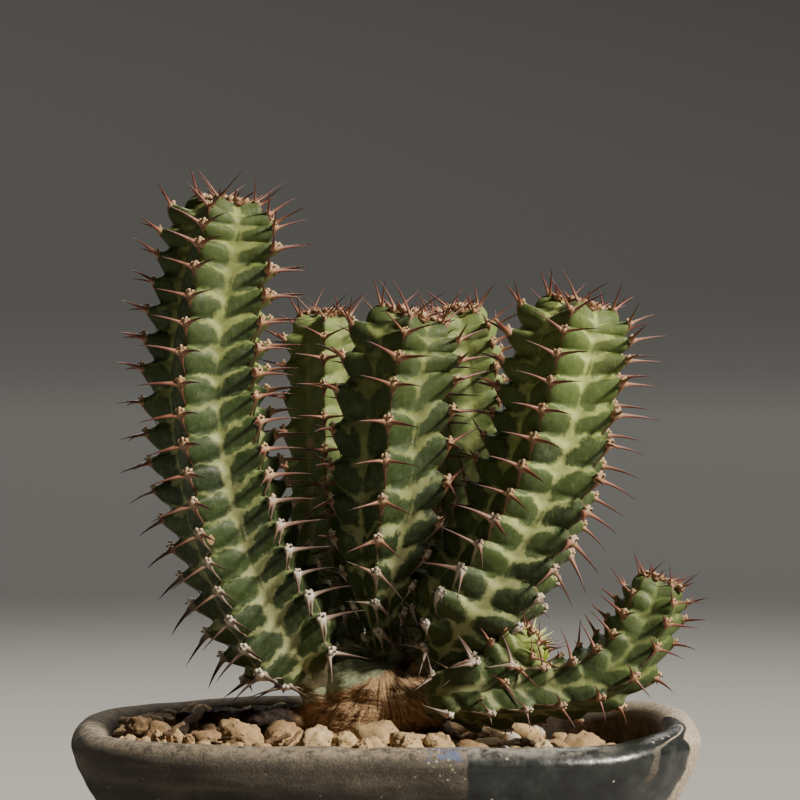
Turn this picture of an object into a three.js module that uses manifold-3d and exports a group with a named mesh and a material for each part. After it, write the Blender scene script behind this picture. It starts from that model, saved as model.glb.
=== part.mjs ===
// Potted Euphorbia knobelii: a clump of five-ribbed, spiny branches on a fibrous rootstock,
// in a shallow oval stoneware bowl topped with pumice.
// Millimetres, +Z up, -Y to the front, origin on the ground under the middle of the bowl.

import * as THREE from 'three';
import { mergeVertices } from 'three/addons/utils/BufferGeometryUtils.js';
import Module from 'manifold-3d';

const wasm = await Module();
wasm.setup();

// Bowl
const BOWL_HALF_WIDTH = 66;
const BOWL_HALF_DEPTH = 49;
const BOWL_HEIGHT = 46;
const BOWL_SQUARENESS = 2.8; // exponent of the oval, 2 would be an ellipse
const BOWL_SEGMENTS = 40;
const LIP_RADIUS = 4;
const LIP_STEPS = 6;
const WALL = 6;
const FLOOR = 7;
const FOOT_HEIGHT = 3;
const FOOT_INSET = 28; // how far the foot lies inside the rim
const FLARE = 1.4; // exponent of the wall's curve from lip to foot
const DRAIN_RADIUS = 6;

// Drain mesh
const MESH_SIDE = 21;
const MESH_THICK = 1.2;
const MESH_SLOTS = 3;
const MESH_SLOT_SHARE = 0.62;

// Soil and pumice
const SEAT = 0.3; // gap between pieces that rest on each other
const SOIL_LEVEL = 43.2;
const SOIL_DROP = 4.2; // the right end lies lower
const SOIL_DROP_FROM = 4;
const SOIL_DROP_TO = 28;
const PUMICE_COUNT = 110;
const PUMICE_SIDES = 5;
const PUMICE_RADIUS = [2.9, 6.8];
const PUMICE_TRIES = 6000;
const PUMICE_SEED = 41;
const ROOT_REACH = 20; // stones nearer to the rootstock's middle lie lower
const HEADROOM = 7.4; // height over the soil that spines stay above

// Rootstock
const ROOT_CENTRE = [-4.7, 1];
const ROOT_PROFILE = [
  [0, 15], [2.6, 17], [6.2, 27], [9.6, 36], [11.6, 42], [12.2, 46], [11.4, 49.5], [8.6, 52.5],
  [4, 54.2], [0, 54.8],
]; // radius, height
const ROOT_SIDES = 20;
const ROOT_LUMPS = {
  callus: { centre: [-2.8, -3.2, 53.2], size: [7.6, 7, 5.8] },
  crown: { centre: [0.6, 6, 53.4], size: [8.6, 7.6, 5.6] },
};
const OLD_ROOT = {
  path: [[-9, -1, 46.4], [-18, -2, 46.8], [-30, -4, 47.2], [-44, -4, 46.8]],
  radius: [3.3, 1.3],
  sides: 8,
  rows: 7,
};
const NECK_LENGTH = 9;
const NECK_SIDES = 10;

// Branches: path of the axis, crest radius, radius where it joins, the way a rib faces in
// degrees from the front to the right, at the foot and turned further by the tip, and the
// length of its spines
const BRANCHES = {
  stem_left: {
    path: [
      [-14.4, -3, 53.4], [-19.6, -5, 62.2], [-26.7, -7, 74.4], [-32.2, -8, 88.9],
      [-35.4, -8, 103.5], [-37, -7, 117], [-35.9, -5, 132.6], [-34.2, -3, 145.1],
      [-32.6, -2, 155.2],
    ],
    radius: 14.7, baseRadius: 4.2, shoulder: 13, dome: 8, taper: 0.08, teeth: 20,
    turn: -35, twist: 18, spine: 8.6,
  },
  stem_centre: {
    path: [
      [0.4, 3, 59.6], [-1.2, -1, 70], [-0.8, -5, 82.4], [0.8, -8, 97.3], [1.7, -9, 111.9],
      [3.5, -9, 123.4], [5.8, -9, 131.8],
    ],
    radius: 13.8, baseRadius: 3.8, shoulder: 42, dome: 8, taper: 0.08, teeth: 11,
    turn: -12, twist: 4, spine: 8.8,
  },
  stem_right: {
    path: [
      [7.8, -2.4, 56], [11.6, -4.6, 66], [19.8, -7, 78], [27.9, -8, 88.9], [33.7, -8, 101.4],
      [36.7, -7, 113.9], [38.6, -6, 124.4], [41, -5, 133.6],
    ],
    radius: 14.4, baseRadius: 4.2, shoulder: 32, dome: 8, taper: 0.03, teeth: 15,
    turn: -38, twist: 28, spine: 8.6,
  },
  stem_back_left: {
    path: [
      [-7, 9, 58.4], [-10.2, 16, 70.1], [-12.3, 22, 86.9], [-13, 25, 106.1], [-13.2, 25, 121.2],
      [-13, 24.5, 131.4],
    ],
    radius: 9.8, baseRadius: 3.6, shoulder: 26, dome: 7, taper: 0.04, teeth: 11,
    turn: 4, twist: 0, spine: 8,
  },
  stem_back_right: {
    path: [
      [6.4, 10, 58.2], [10.2, 17, 70], [15, 22.5, 86.8], [17.2, 25, 106.1], [16.2, 24.5, 121.2],
      [14.8, 23, 132.2],
    ],
    radius: 10.2, baseRadius: 3.6, shoulder: 26, dome: 7, taper: 0.04, teeth: 11,
    turn: -28, twist: 0, spine: 8,
  },
  stem_low_right: {
    path: [
      [9.6, -8.6, 51.4], [17.4, -13, 53.8], [29.9, -14.5, 54.6], [41.3, -14.5, 56.4],
      [49.4, -13.5, 61.2], [53.8, -12.5, 68.2], [57, -11.5, 76.8],
    ],
    radius: 9.7, baseRadius: 4.2, shoulder: 12, dome: 6, taper: 0.3, teeth: 10,
    turn: 20, twist: 0, spine: 6.6, shoot: 'bud',
  },
};
const SHOOTS = {
  bud: {
    path: [[31.6, -13.5, 57.5], [32.6, -13.5, 62], [34, -13.5, 68.4]],
    radius: 4.9, baseRadius: 3.4, shoulder: 4, dome: 4, taper: 0, teeth: 3,
    turn: -10, twist: 0, spine: 4.8,
  },
};
const RIBS = 5;
const AXIS_STEPS = 160;
const PLAIN_BASE = 2.4; // length of a branch below its lowest teeth
const CROWDING = 0.58; // how much closer the teeth stand at the tip
const CROWDED_TEETH = 5;
const COLUMN_SHARES = [0, 0.06, 0.5, 0.94]; // crest, beside it, groove, beside the next crest
const ROW_SHARES = [0, 0.54, 0.78]; // sinus, foot of the spine shield, top of the shield
const RADIUS_SHARES = [
  [0.85, 0.82, 0.66, 0.82],
  [0.97, 0.93, 0.69, 0.93],
  [1, 0.955, 0.7, 0.955],
]; // of the crest radius, for each row and column
const RIB_STAGGER = [0, 0.4, -0.2, 0.2, -0.4]; // each rib's teeth, in tooth pitches
const STAGGER_FADE = 8; // length at either end over which the stagger fades out
const RIB_RISE = 10; // length over which the ribs rise from the round foot
const FOOT_RIBBING = 0.25;
const SLOPE_STEP = 0.4;
const DOME_POWER = 2.6;
const APEX_REACH = 2; // the blunt end of a branch, as others see it
const APEX_GAP = 0.4; // between the last row and the apex

// Spines: a pair on each tooth
const SPINE_REACH = 19; // spines rooted further apart than this can't meet
const SPINE_SPREAD = 52; // degrees to each side
const SPINE_RISE_AT_TIP = 22; // degrees towards the tip
const SPINE_DROOP_AT_BASE = 24;
const SPINE_CHECKS = [0.35, 0.6, 0.8, 1];
const SEGMENT_SHARES = [0, 0.2, 0.4, 0.6, 0.8, 1];
const SPINE_CLEARANCE = 0.9;
const SPINE_GIRTH = 0.9; // half width allowed for another branch's spine
const BEND_STEP = 14; // degrees, one try of turning a spine clear
const BEND_TRIES = 5;
const SHORTEST_SPINE = 0.3; // share of its length that a spine keeps at least
const SHORTEN_STEP = 0.23;
const SPINE_SEED = 977;

const MATERIALS = {
  clay: { color: 0x6b6257, roughness: 0.8 },
  plastic: { color: 0x2c2d2c, roughness: 0.7 },
  pumice: { color: 0xb99f74, roughness: 0.95 },
  bark: { color: 0x6e4a2c, roughness: 0.9 },
  skin: { color: 0x5f8046, roughness: 0.55 },
  lit: { color: 0x86a45a, roughness: 0.55 },
};

const radians = THREE.MathUtils.degToRad;

function smooth(t) {
  const c = THREE.MathUtils.clamp(t, 0, 1);
  return c * c * (3 - 2 * c);
}

function randomFrom(seed) {
  let state = seed;
  return () => {
    state = (state * 1664525 + 1013904223) % 4294967296;
    return state / 4294967296;
  };
}

// Solids

function geometryOf(points, triangles) {
  const geometry = new THREE.BufferGeometry();
  const positions = new Float32Array(points.flatMap((p) => [p.x, p.y, p.z]));
  geometry.setAttribute('position', new THREE.BufferAttribute(positions, 3));
  geometry.setIndex(triangles.flat());
  return geometry;
}

function solidOf(geometry) {
  const bare = geometry.clone();
  bare.deleteAttribute('normal');
  bare.deleteAttribute('uv');
  const merged = mergeVertices(bare, 1e-4);
  const vertProperties = Float32Array.from(merged.attributes.position.array);
  const triVerts = Uint32Array.from(merged.index.array);
  return new wasm.Manifold(new wasm.Mesh({ numProp: 3, vertProperties, triVerts }));
}

function geometryFrom(solid) {
  const mesh = solid.getMesh();
  const geometry = new THREE.BufferGeometry();
  geometry.setAttribute('position', new THREE.BufferAttribute(mesh.vertProperties, 3));
  geometry.setIndex(Array.from(mesh.triVerts));
  return geometry;
}

function largestOf(solid) {
  const pieces = solid.decompose();
  return pieces.reduce((best, piece) => (piece.volume() > best.volume() ? piece : best));
}

// Rings of points, each counter-clockwise seen from the end that they climb to, as one skin.
// With an end point the skin closes there; without ends the last ring joins the first.
function ringSkin(rings, start, end) {
  const columns = rings[0].length;
  const points = rings.flat();
  const triangles = [];
  const joined = start ? rings.length - 1 : rings.length;
  for (let row = 0; row < joined; row += 1) {
    const below = row * columns;
    const above = ((row + 1) % rings.length) * columns;
    for (let column = 0; column < columns; column += 1) {
      const next = (column + 1) % columns;
      triangles.push([below + column, below + next, above + next]);
      triangles.push([below + column, above + next, above + column]);
    }
  }
  if (start) {
    const top = (rings.length - 1) * columns;
    const first = points.push(start) - 1;
    const last = points.push(end) - 1;
    for (let column = 0; column < columns; column += 1) {
      const next = (column + 1) % columns;
      triangles.push([first, next, column]);
      triangles.push([top + column, top + next, last]);
    }
  }
  return geometryOf(points, triangles);
}

// Bowl and soil: rings of the same oval

function ovalPoint(halfWidth, halfDepth, angle) {
  const power = 2 / BOWL_SQUARENESS;
  const across = Math.cos(angle);
  const along = Math.sin(angle);
  return [
    halfWidth * Math.sign(across) * Math.abs(across) ** power,
    halfDepth * Math.sign(along) * Math.abs(along) ** power,
  ];
}

function ovalRing(halfWidth, halfDepth, height) {
  return Array.from({ length: BOWL_SEGMENTS }, (_, i) => {
    const [x, y] = ovalPoint(halfWidth, halfDepth, (i / BOWL_SEGMENTS) * 2 * Math.PI);
    return new THREE.Vector3(x, y, typeof height === 'function' ? height(x) : height);
  });
}

function insetRing(inset, height) {
  return ovalRing(BOWL_HALF_WIDTH - inset, BOWL_HALF_DEPTH - inset, height);
}

const LIP_CENTRE_HEIGHT = BOWL_HEIGHT - LIP_RADIUS;

function outerInset(height) {
  const down = (LIP_CENTRE_HEIGHT - height) / (LIP_CENTRE_HEIGHT - FOOT_HEIGHT);
  return FOOT_INSET * Math.max(0, down) ** FLARE;
}

function innerInset(height) {
  const wall = height > LIP_CENTRE_HEIGHT - 8 ? 2 * LIP_RADIUS - outerInset(height) : WALL;
  return outerInset(height) + Math.max(WALL, wall);
}

function bowl() {
  const rings = [];
  rings.push(ovalRing(DRAIN_RADIUS, DRAIN_RADIUS, FLOOR));
  rings.push(ovalRing(DRAIN_RADIUS, DRAIN_RADIUS, 0));
  rings.push(insetRing(FOOT_INSET + 0.6, 0));
  rings.push(insetRing(FOOT_INSET, 0.8));
  for (const share of [0, 0.25, 0.5, 0.75, 0.9]) {
    const height = FOOT_HEIGHT + share * (LIP_CENTRE_HEIGHT - FOOT_HEIGHT);
    rings.push(insetRing(outerInset(height), height));
  }
  for (let i = 0; i <= LIP_STEPS; i += 1) {
    const roll = (i / LIP_STEPS) * Math.PI;
    rings.push(insetRing(
      LIP_RADIUS * (1 - Math.cos(roll)),
      LIP_CENTRE_HEIGHT + LIP_RADIUS * Math.sin(roll),
    ));
  }
  for (const share of [0.8, 0.45, 0.12]) {
    const height = FLOOR + share * (LIP_CENTRE_HEIGHT - FLOOR);
    rings.push(insetRing(innerInset(height), height));
  }
  rings.push(insetRing(innerInset(FLOOR) + 3, FLOOR));
  return ringSkin(rings);
}

function drainMesh() {
  let plate = solidOf(new THREE.BoxGeometry(MESH_SIDE, MESH_SIDE, MESH_THICK));
  const pitch = MESH_SIDE / (MESH_SLOTS + 0.5);
  const slot = pitch * MESH_SLOT_SHARE;
  for (let i = 0; i < MESH_SLOTS; i += 1) {
    for (let j = 0; j < MESH_SLOTS; j += 1) {
      const opening = new THREE.BoxGeometry(slot, slot, 3 * MESH_THICK);
      const middle = (MESH_SLOTS - 1) / 2;
      opening.translate((i - middle) * pitch, (j - middle) * pitch, 0);
      plate = plate.subtract(solidOf(opening));
    }
  }
  return geometryFrom(plate);
}

function soilLevel(x) {
  return SOIL_LEVEL - SOIL_DROP * smooth((x - SOIL_DROP_FROM) / (SOIL_DROP_TO - SOIL_DROP_FROM));
}

const SOIL_BOTTOM = FLOOR + SEAT + MESH_THICK + SEAT;

// The room inside the bowl, up to well over its lip
function roomInBowl() {
  const rings = [insetRing(innerInset(FLOOR) + 3 + SEAT, SOIL_BOTTOM)];
  for (const share of [0.12, 0.45, 0.8]) {
    const height = FLOOR + share * (LIP_CENTRE_HEIGHT - FLOOR);
    rings.push(insetRing(innerInset(height) + SEAT, height));
  }
  rings.push(insetRing(2 * LIP_RADIUS + SEAT, LIP_CENTRE_HEIGHT));
  rings.push(insetRing(2 * LIP_RADIUS + SEAT, BOWL_HEIGHT + LIP_RADIUS));
  const bottom = new THREE.Vector3(0, 0, SOIL_BOTTOM);
  return ringSkin(rings, bottom, new THREE.Vector3(0, 0, BOWL_HEIGHT + LIP_RADIUS));
}

// The ground under the stones, cut to the room in the bowl afterwards
function ground() {
  const rings = [insetRing(3, SOIL_BOTTOM - 1), insetRing(3, soilLevel)];
  rings.push(insetRing(24, soilLevel));
  const bottom = new THREE.Vector3(0, 0, SOIL_BOTTOM - 1);
  return ringSkin(rings, bottom, new THREE.Vector3(0, 0, soilLevel(0)));
}

function inOval(x, y, inset) {
  const across = Math.abs(x / (BOWL_HALF_WIDTH - inset)) ** BOWL_SQUARENESS;
  const along = Math.abs(y / (BOWL_HALF_DEPTH - inset)) ** BOWL_SQUARENESS;
  return across + along < 1;
}

function pumiceStone(place, radius, random) {
  const top = radius * (0.42 + 0.2 * random());
  const height = radius * (1.1 + 0.3 * random());
  const stone = new THREE.CylinderGeometry(top, radius, height, PUMICE_SIDES);
  stone.rotateX(Math.PI / 2 + 0.5 * (random() - 0.5));
  stone.rotateZ(random() * 2 * Math.PI);
  stone.scale(1, 0.9 + 0.1 * random(), 1);
  stone.translate(place.x, place.y, place.z);
  return stone;
}

// Stones strewn one by one, the large ones first, each beside those before it
function pumicePlaces(random) {
  const places = [];
  for (let i = 0; i < PUMICE_TRIES && places.length < PUMICE_COUNT; i += 1) {
    const x = (2 * random() - 1) * BOWL_HALF_WIDTH;
    const y = (2 * random() - 1) * BOWL_HALF_DEPTH;
    const large = (1 - i / PUMICE_TRIES) ** 3;
    const radius = THREE.MathUtils.lerp(PUMICE_RADIUS[0], PUMICE_RADIUS[1], large);
    const apart = places.every((p) => Math.hypot(p.x - x, p.y - y) > p.radius + radius);
    if (!apart || !inOval(x, y, 2 * LIP_RADIUS + 0.75 * radius)) continue;
    const fromRoot = Math.hypot(x - ROOT_CENTRE[0], y - ROOT_CENTRE[1]);
    const sunk = fromRoot < ROOT_REACH ? 0.5 : -0.1;
    const place = new THREE.Vector3(x, y, soilLevel(x) - sunk * radius);
    if (nearestBranch(place).gap < radius + SPINE_CLEARANCE) continue;
    places.push(Object.assign(place, { radius }));
  }
  return places;
}

function soil() {
  const random = randomFrom(PUMICE_SEED);
  let filling = solidOf(ground());
  for (const place of pumicePlaces(random)) {
    filling = filling.add(solidOf(pumiceStone(place, place.radius, random)));
  }
  filling = filling.intersect(solidOf(roomInBowl()));
  filling = filling.subtract(solidOf(rootstockBody(SEAT)));
  filling = filling.subtract(solidOf(oldRoot(SEAT)));
  return geometryFrom(largestOf(filling));
}

// Rootstock

function rootstockBody(extra) {
  const profile = ROOT_PROFILE.map(([radius, height], i) => {
    const up = i === 0 ? -extra : extra * (i / (ROOT_PROFILE.length - 1));
    return new THREE.Vector2(radius > 0 ? radius + extra : 0, height + up);
  });
  const body = new THREE.LatheGeometry(profile, ROOT_SIDES);
  body.rotateX(Math.PI / 2);
  body.translate(...ROOT_CENTRE, 0);
  return body;
}

function oldRootStations() {
  const axis = axisOf(OLD_ROOT.path);
  return Array.from({ length: OLD_ROOT.rows + 1 }, (_, row) => {
    const share = row / OLD_ROOT.rows;
    const radius = THREE.MathUtils.lerp(...OLD_ROOT.radius, share);
    return { ...stationAt(axis, share * axis.length), radius };
  });
}

function oldRoot(extra) {
  const stations = oldRootStations();
  const rings = stations.map(({ point, front, side, radius }) => (
    Array.from({ length: OLD_ROOT.sides }, (_, i) => (
      around(point, front, side, (i / OLD_ROOT.sides) * 2 * Math.PI, radius + extra)
    ))
  ));
  const [first, last] = [stations[0], stations[OLD_ROOT.rows]];
  const start = first.point.clone().addScaledVector(first.tangent, -extra);
  return ringSkin(rings, start, last.point.clone().addScaledVector(last.tangent, extra + 0.6));
}

// The short neck that carries a branch, ending one seat below the branch's foot
function neck(branch) {
  const { point, tangent } = stationAt(branch.axis, 0);
  const radius = branch.spec.baseRadius * 0.96;
  const stub = new THREE.CylinderGeometry(radius, radius + 1.2, NECK_LENGTH, NECK_SIDES);
  stub.translate(0, -NECK_LENGTH / 2 - SEAT, 0);
  const turned = new THREE.Quaternion().setFromUnitVectors(new THREE.Vector3(0, 1, 0), tangent);
  stub.applyQuaternion(turned);
  stub.translate(point.x, point.y, point.z);
  return stub;
}

function caudex() {
  let body = solidOf(rootstockBody(0)).add(solidOf(oldRoot(0)));
  for (const lump of Object.values(ROOT_LUMPS)) {
    const shape = new THREE.IcosahedronGeometry(1, 1);
    shape.scale(...lump.size);
    shape.translate(...lump.centre);
    body = body.add(solidOf(shape));
  }
  for (const branch of Object.values(branches)) {
    body = body.add(solidOf(neck(branch)));
  }
  return geometryFrom(largestOf(body));
}

// Branches

function axisOf(path) {
  const curve = new THREE.CatmullRomCurve3(path.map((p) => new THREE.Vector3(...p)));
  const stations = [];
  let front = new THREE.Vector3(0, -1, 0);
  for (let i = 0; i <= AXIS_STEPS; i += 1) {
    const tangent = curve.getTangentAt(i / AXIS_STEPS);
    front = front.clone().addScaledVector(tangent, -front.dot(tangent)).normalize();
    const side = tangent.clone().cross(front);
    stations.push({ point: curve.getPointAt(i / AXIS_STEPS), tangent, front, side });
  }
  return { length: curve.getLength(), stations };
}

function stationAt(axis, along) {
  const place = THREE.MathUtils.clamp(along / axis.length, 0, 1) * AXIS_STEPS;
  const index = Math.min(Math.floor(place), AXIS_STEPS - 1);
  const from = axis.stations[index];
  const to = axis.stations[index + 1];
  const mixed = {};
  for (const key of ['point', 'tangent', 'front', 'side']) {
    mixed[key] = from[key].clone().lerp(to[key], place - index);
  }
  return mixed;
}

function around(point, front, side, angle, radius) {
  return point.clone()
    .addScaledVector(front, Math.cos(angle) * radius)
    .addScaledVector(side, Math.sin(angle) * radius);
}

// Crest radius at a distance along the axis
function girth(branch, along) {
  const { spec, axis } = branch;
  const grown = smooth(along / spec.shoulder);
  const body = THREE.MathUtils.lerp(spec.baseRadius, spec.radius, grown);
  const intoDome = THREE.MathUtils.clamp(1 - (axis.length - along) / spec.dome, 0, 1);
  return body * (1 - (spec.taper * along) / axis.length) * Math.sqrt(1 - intoDome ** DOME_POWER);
}

// Where each row of the skin lies: the height of its tooth and the kind of row
function rowsOf(branch) {
  const { spec, axis } = branch;
  const weights = Array.from({ length: spec.teeth }, (_, i) => (
    1 - CROWDING * smooth((i - (spec.teeth - CROWDED_TEETH)) / (CROWDED_TEETH - 1))
  ));
  const total = weights.reduce((sum, weight) => sum + weight, 0);
  const room = axis.length - PLAIN_BASE - APEX_GAP;
  const rows = [{ along: 0, pitch: 0, kind: 0, tooth: -1 }];
  let from = PLAIN_BASE;
  for (let tooth = 0; tooth < spec.teeth; tooth += 1) {
    const pitch = (room * weights[tooth]) / total;
    ROW_SHARES.forEach((share, kind) => {
      rows.push({ along: from + share * pitch, pitch, kind, tooth });
    });
    from += pitch;
  }
  return rows;
}

function staggerAt(column) {
  const rib = Math.floor(column / COLUMN_SHARES.length);
  const place = column % COLUMN_SHARES.length;
  const own = RIB_STAGGER[rib % RIBS];
  const next = RIB_STAGGER[(rib + 1) % RIBS];
  return [own, own, (own + next) / 2, next][place];
}

function columnAngle({ spec, axis }, column, along) {
  const rib = Math.floor(column / COLUMN_SHARES.length);
  const share = COLUMN_SHARES[column % COLUMN_SHARES.length];
  const turned = spec.turn + (spec.twist * along) / axis.length;
  return radians(turned) + ((rib + share) / RIBS) * 2 * Math.PI;
}

// One point of the skin, with the way that the skin faces there
function skinPoint(branch, row, column) {
  const { axis, spec } = branch;
  const inwards = smooth(row.along / STAGGER_FADE)
    * smooth((axis.length - row.along) / STAGGER_FADE);
  const along = Math.min(row.along + staggerAt(column) * row.pitch * inwards, axis.length);
  const { point, tangent, front, side } = stationAt(axis, along);
  const angle = columnAngle(branch, column, along);
  const outward = around(new THREE.Vector3(), front, side, angle, 1);
  const narrowing = girth(branch, along - SLOPE_STEP) - girth(branch, along + SLOPE_STEP);
  const slope = THREE.MathUtils.clamp(narrowing, -1, 2);
  const facing = outward.clone().addScaledVector(tangent, slope).normalize();
  const ribbing = row.tooth < 0 ? FOOT_RIBBING : smooth((along + 2) / RIB_RISE);
  const [plain, raised] = [0, row.kind].map((kind) => (
    1 - (1 - RADIUS_SHARES[kind][column % COLUMN_SHARES.length]) * ribbing
  ));
  const radius = girth(branch, along);
  const position = point.clone()
    .addScaledVector(outward, radius * plain)
    .addScaledVector(facing, radius * (raised - plain));
  return { position, facing, tangent, outward, along };
}

function makeBranch(name, spec) {
  return { name, spec, axis: axisOf(spec.path) };
}

const branches = Object.fromEntries(
  Object.entries(BRANCHES).map(([name, spec]) => [name, makeBranch(name, spec)]),
);
const shoots = Object.fromEntries(
  Object.entries(SHOOTS).map(([name, spec]) => [name, makeBranch(name, spec)]),
);

// The branch whose crests are nearest to a point, and the gap to them
function nearestBranch(point, except) {
  let nearest = { gap: Infinity, name: '' };
  for (const branch of [...Object.values(branches), ...Object.values(shoots)]) {
    if (branch.name === except || branch.spec.shoot === except) continue;
    branch.axis.stations.forEach((station, i) => {
      const along = (i / AXIS_STEPS) * branch.axis.length;
      const crest = girth(branch, Math.min(along, branch.axis.length - APEX_REACH));
      const gap = station.point.distanceTo(point) - crest;
      if (gap < nearest.gap) nearest = { gap, name: branch.name };
    });
  }
  return nearest;
}

const placedSpines = [];

function segmentGap(a, b) {
  let gap = Infinity;
  for (const s of SEGMENT_SHARES) {
    const p = a.from.clone().lerp(a.to, s);
    for (const t of SEGMENT_SHARES) {
      gap = Math.min(gap, p.distanceTo(b.from.clone().lerp(b.to, t)));
    }
  }
  return gap;
}

const rootObstacles = [
  { centre: new THREE.Vector3(...ROOT_CENTRE, 44), radius: 12.4 },
  ...Object.values(ROOT_LUMPS).map(({ centre, size }) => (
    { centre: new THREE.Vector3(...centre), radius: Math.max(...size) }
  )),
  ...oldRootStations().map(({ point, radius }) => ({ centre: point, radius })),
];

function overBowl(point) {
  const lipTop = BOWL_HEIGHT + 0.8;
  const groundTop = soilLevel(point.x) + HEADROOM;
  return point.z > (inOval(point.x, point.y, 2 * LIP_RADIUS + 1) ? groundTop : lipTop);
}

// True if a spine from one point to another meets no other branch, spine, stone or lip
function isClear(name, from, to) {
  for (const share of SPINE_CHECKS) {
    const point = from.clone().lerp(to, share);
    if (!overBowl(point)) return false;
    if (nearestBranch(point, name).gap < SPINE_CLEARANCE) return false;
    const inRoot = ({ centre, radius }) => centre.distanceTo(point) < radius + SPINE_CLEARANCE;
    if (rootObstacles.some(inRoot)) return false;
  }
  const segment = { from, to };
  return placedSpines.every((other) => (
    other.name === name || other.from.distanceTo(from) > SPINE_REACH
    || segmentGap(segment, other) > 2 * SPINE_GIRTH
  ));
}

// The spine's tip, with the spine turned towards its branch's own tip, then shortened, until
// it is clear of the others
function spineTip(name, from, direction, tangent, length) {
  for (let shorter = 1; shorter >= SHORTEST_SPINE; shorter -= SHORTEN_STEP) {
    for (let turn = 0; turn <= BEND_TRIES; turn += 1) {
      const bend = Math.sin(radians(turn * BEND_STEP));
      const turned = direction.clone().addScaledVector(tangent, bend).normalize();
      const to = from.clone().addScaledVector(turned, length * shorter);
      if (isClear(name, from, to)) return to;
    }
  }
  return null;
}

// The skin of a branch: a grid of ribs and teeth, with a spine pulled out of the shield's
// two faces on every tooth
function branchSkin(branch) {
  const { spec, axis, name } = branch;
  const random = randomFrom(SPINE_SEED * name.length + spec.teeth);
  const rows = rowsOf(branch);
  const columns = RIBS * COLUMN_SHARES.length;
  const grid = rows.map((row) => (
    Array.from({ length: columns }, (_, column) => skinPoint(branch, row, column))
  ));
  const points = grid.flat().map((place) => place.position);
  const triangles = [];

  function pullSpine(corners, place, sideways) {
    const age = 1 - place.along / axis.length;
    const rise = radians(THREE.MathUtils.lerp(SPINE_RISE_AT_TIP, -SPINE_DROOP_AT_BASE, age ** 0.8));
    const across = place.tangent.clone().cross(place.outward).multiplyScalar(sideways);
    const spread = radians(SPINE_SPREAD + 8 * (random() - 0.5));
    const direction = place.facing.clone().multiplyScalar(Math.cos(spread))
      .addScaledVector(across, Math.sin(spread))
      .addScaledVector(place.tangent, Math.sin(rise + 0.1 * (random() - 0.5)))
      .normalize();
    const from = new THREE.Vector3();
    corners.forEach((corner) => from.addScaledVector(points[corner], 1 / 3));
    const length = spec.spine * (0.9 + 0.2 * random());
    const to = spineTip(name, from, direction, place.tangent, length);
    if (!to) {
      triangles.push(corners);
      return;
    }
    placedSpines.push({ name, from, to });
    const tip = points.push(to) - 1;
    const [a, b, c] = corners;
    triangles.push([a, b, tip], [b, c, tip], [c, a, tip]);
  }

  for (let row = 0; row + 1 < rows.length; row += 1) {
    for (let column = 0; column < columns; column += 1) {
      const next = (column + 1) % columns;
      const a = row * columns + column;
      const b = row * columns + next;
      const c = (row + 1) * columns + next;
      const d = (row + 1) * columns + column;
      const shield = rows[row].kind === 1;
      const place = column % COLUMN_SHARES.length;
      if (shield && place === 0) {
        pullSpine([a, b, d], grid[row + 1][column], 1);
        triangles.push([b, c, d]);
      } else if (shield && place === COLUMN_SHARES.length - 1) {
        pullSpine([a, b, c], grid[row + 1][next], -1);
        triangles.push([a, c, d]);
      } else {
        triangles.push([a, b, c], [a, c, d]);
      }
    }
  }

  const foot = points.push(stationAt(axis, 0).point) - 1;
  const apex = points.push(stationAt(axis, axis.length).point) - 1;
  const top = (rows.length - 1) * columns;
  for (let column = 0; column < columns; column += 1) {
    const next = (column + 1) % columns;
    triangles.push([foot, next, column]);
    triangles.push([top + column, top + next, apex]);
  }
  return geometryOf(points, triangles);
}

function branchWithShoot(branch) {
  const skin = branchSkin(branch);
  if (!branch.spec.shoot) return skin;
  const shoot = branchSkin(shoots[branch.spec.shoot]);
  return geometryFrom(largestOf(solidOf(skin).add(solidOf(shoot))));
}

// The part

function mesh(name, geometry, look) {
  const material = new THREE.MeshStandardMaterial({ metalness: 0, flatShading: true, ...look });
  const made = new THREE.Mesh(geometry, material);
  made.name = name;
  return made;
}

const plant = new THREE.Group();
for (const branch of Object.values(branches)) {
  const look = branch.name.includes('back') ? MATERIALS.lit : MATERIALS.skin;
  plant.add(mesh(branch.name, branchWithShoot(branch), look));
}
plant.add(mesh('caudex', caudex(), MATERIALS.bark));

const drain = mesh('drain_mesh', drainMesh(), MATERIALS.plastic);
drain.position.z = FLOOR + SEAT + MESH_THICK / 2;

const part = new THREE.Group();
part.add(mesh('pot', bowl(), MATERIALS.clay), drain, mesh('soil', soil(), MATERIALS.pumice), plant);

export default part;
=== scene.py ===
"""Potted Euphorbia knobelii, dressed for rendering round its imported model.

Shapes are worked out in millimetres, with the source's own formulas, and made in metres.
"""
import math
import random

import bmesh
import bpy
import numpy as np
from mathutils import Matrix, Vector, noise
from mathutils.bvhtree import BVHTree


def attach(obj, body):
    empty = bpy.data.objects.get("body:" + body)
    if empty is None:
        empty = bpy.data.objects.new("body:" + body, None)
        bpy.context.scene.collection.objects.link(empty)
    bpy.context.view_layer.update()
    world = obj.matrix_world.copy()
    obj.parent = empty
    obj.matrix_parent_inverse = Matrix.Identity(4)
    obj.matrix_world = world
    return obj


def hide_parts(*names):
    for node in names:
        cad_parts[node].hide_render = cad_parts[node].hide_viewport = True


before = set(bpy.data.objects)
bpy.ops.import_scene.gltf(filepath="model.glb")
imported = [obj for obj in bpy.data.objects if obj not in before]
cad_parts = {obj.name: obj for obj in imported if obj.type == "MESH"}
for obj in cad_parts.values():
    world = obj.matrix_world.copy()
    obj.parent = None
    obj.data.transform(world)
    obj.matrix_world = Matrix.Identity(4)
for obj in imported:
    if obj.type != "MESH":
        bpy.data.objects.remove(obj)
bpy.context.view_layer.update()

MM = 0.001
TAU = 2 * math.pi
GOLDEN_ANGLE = 2.399963

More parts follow.
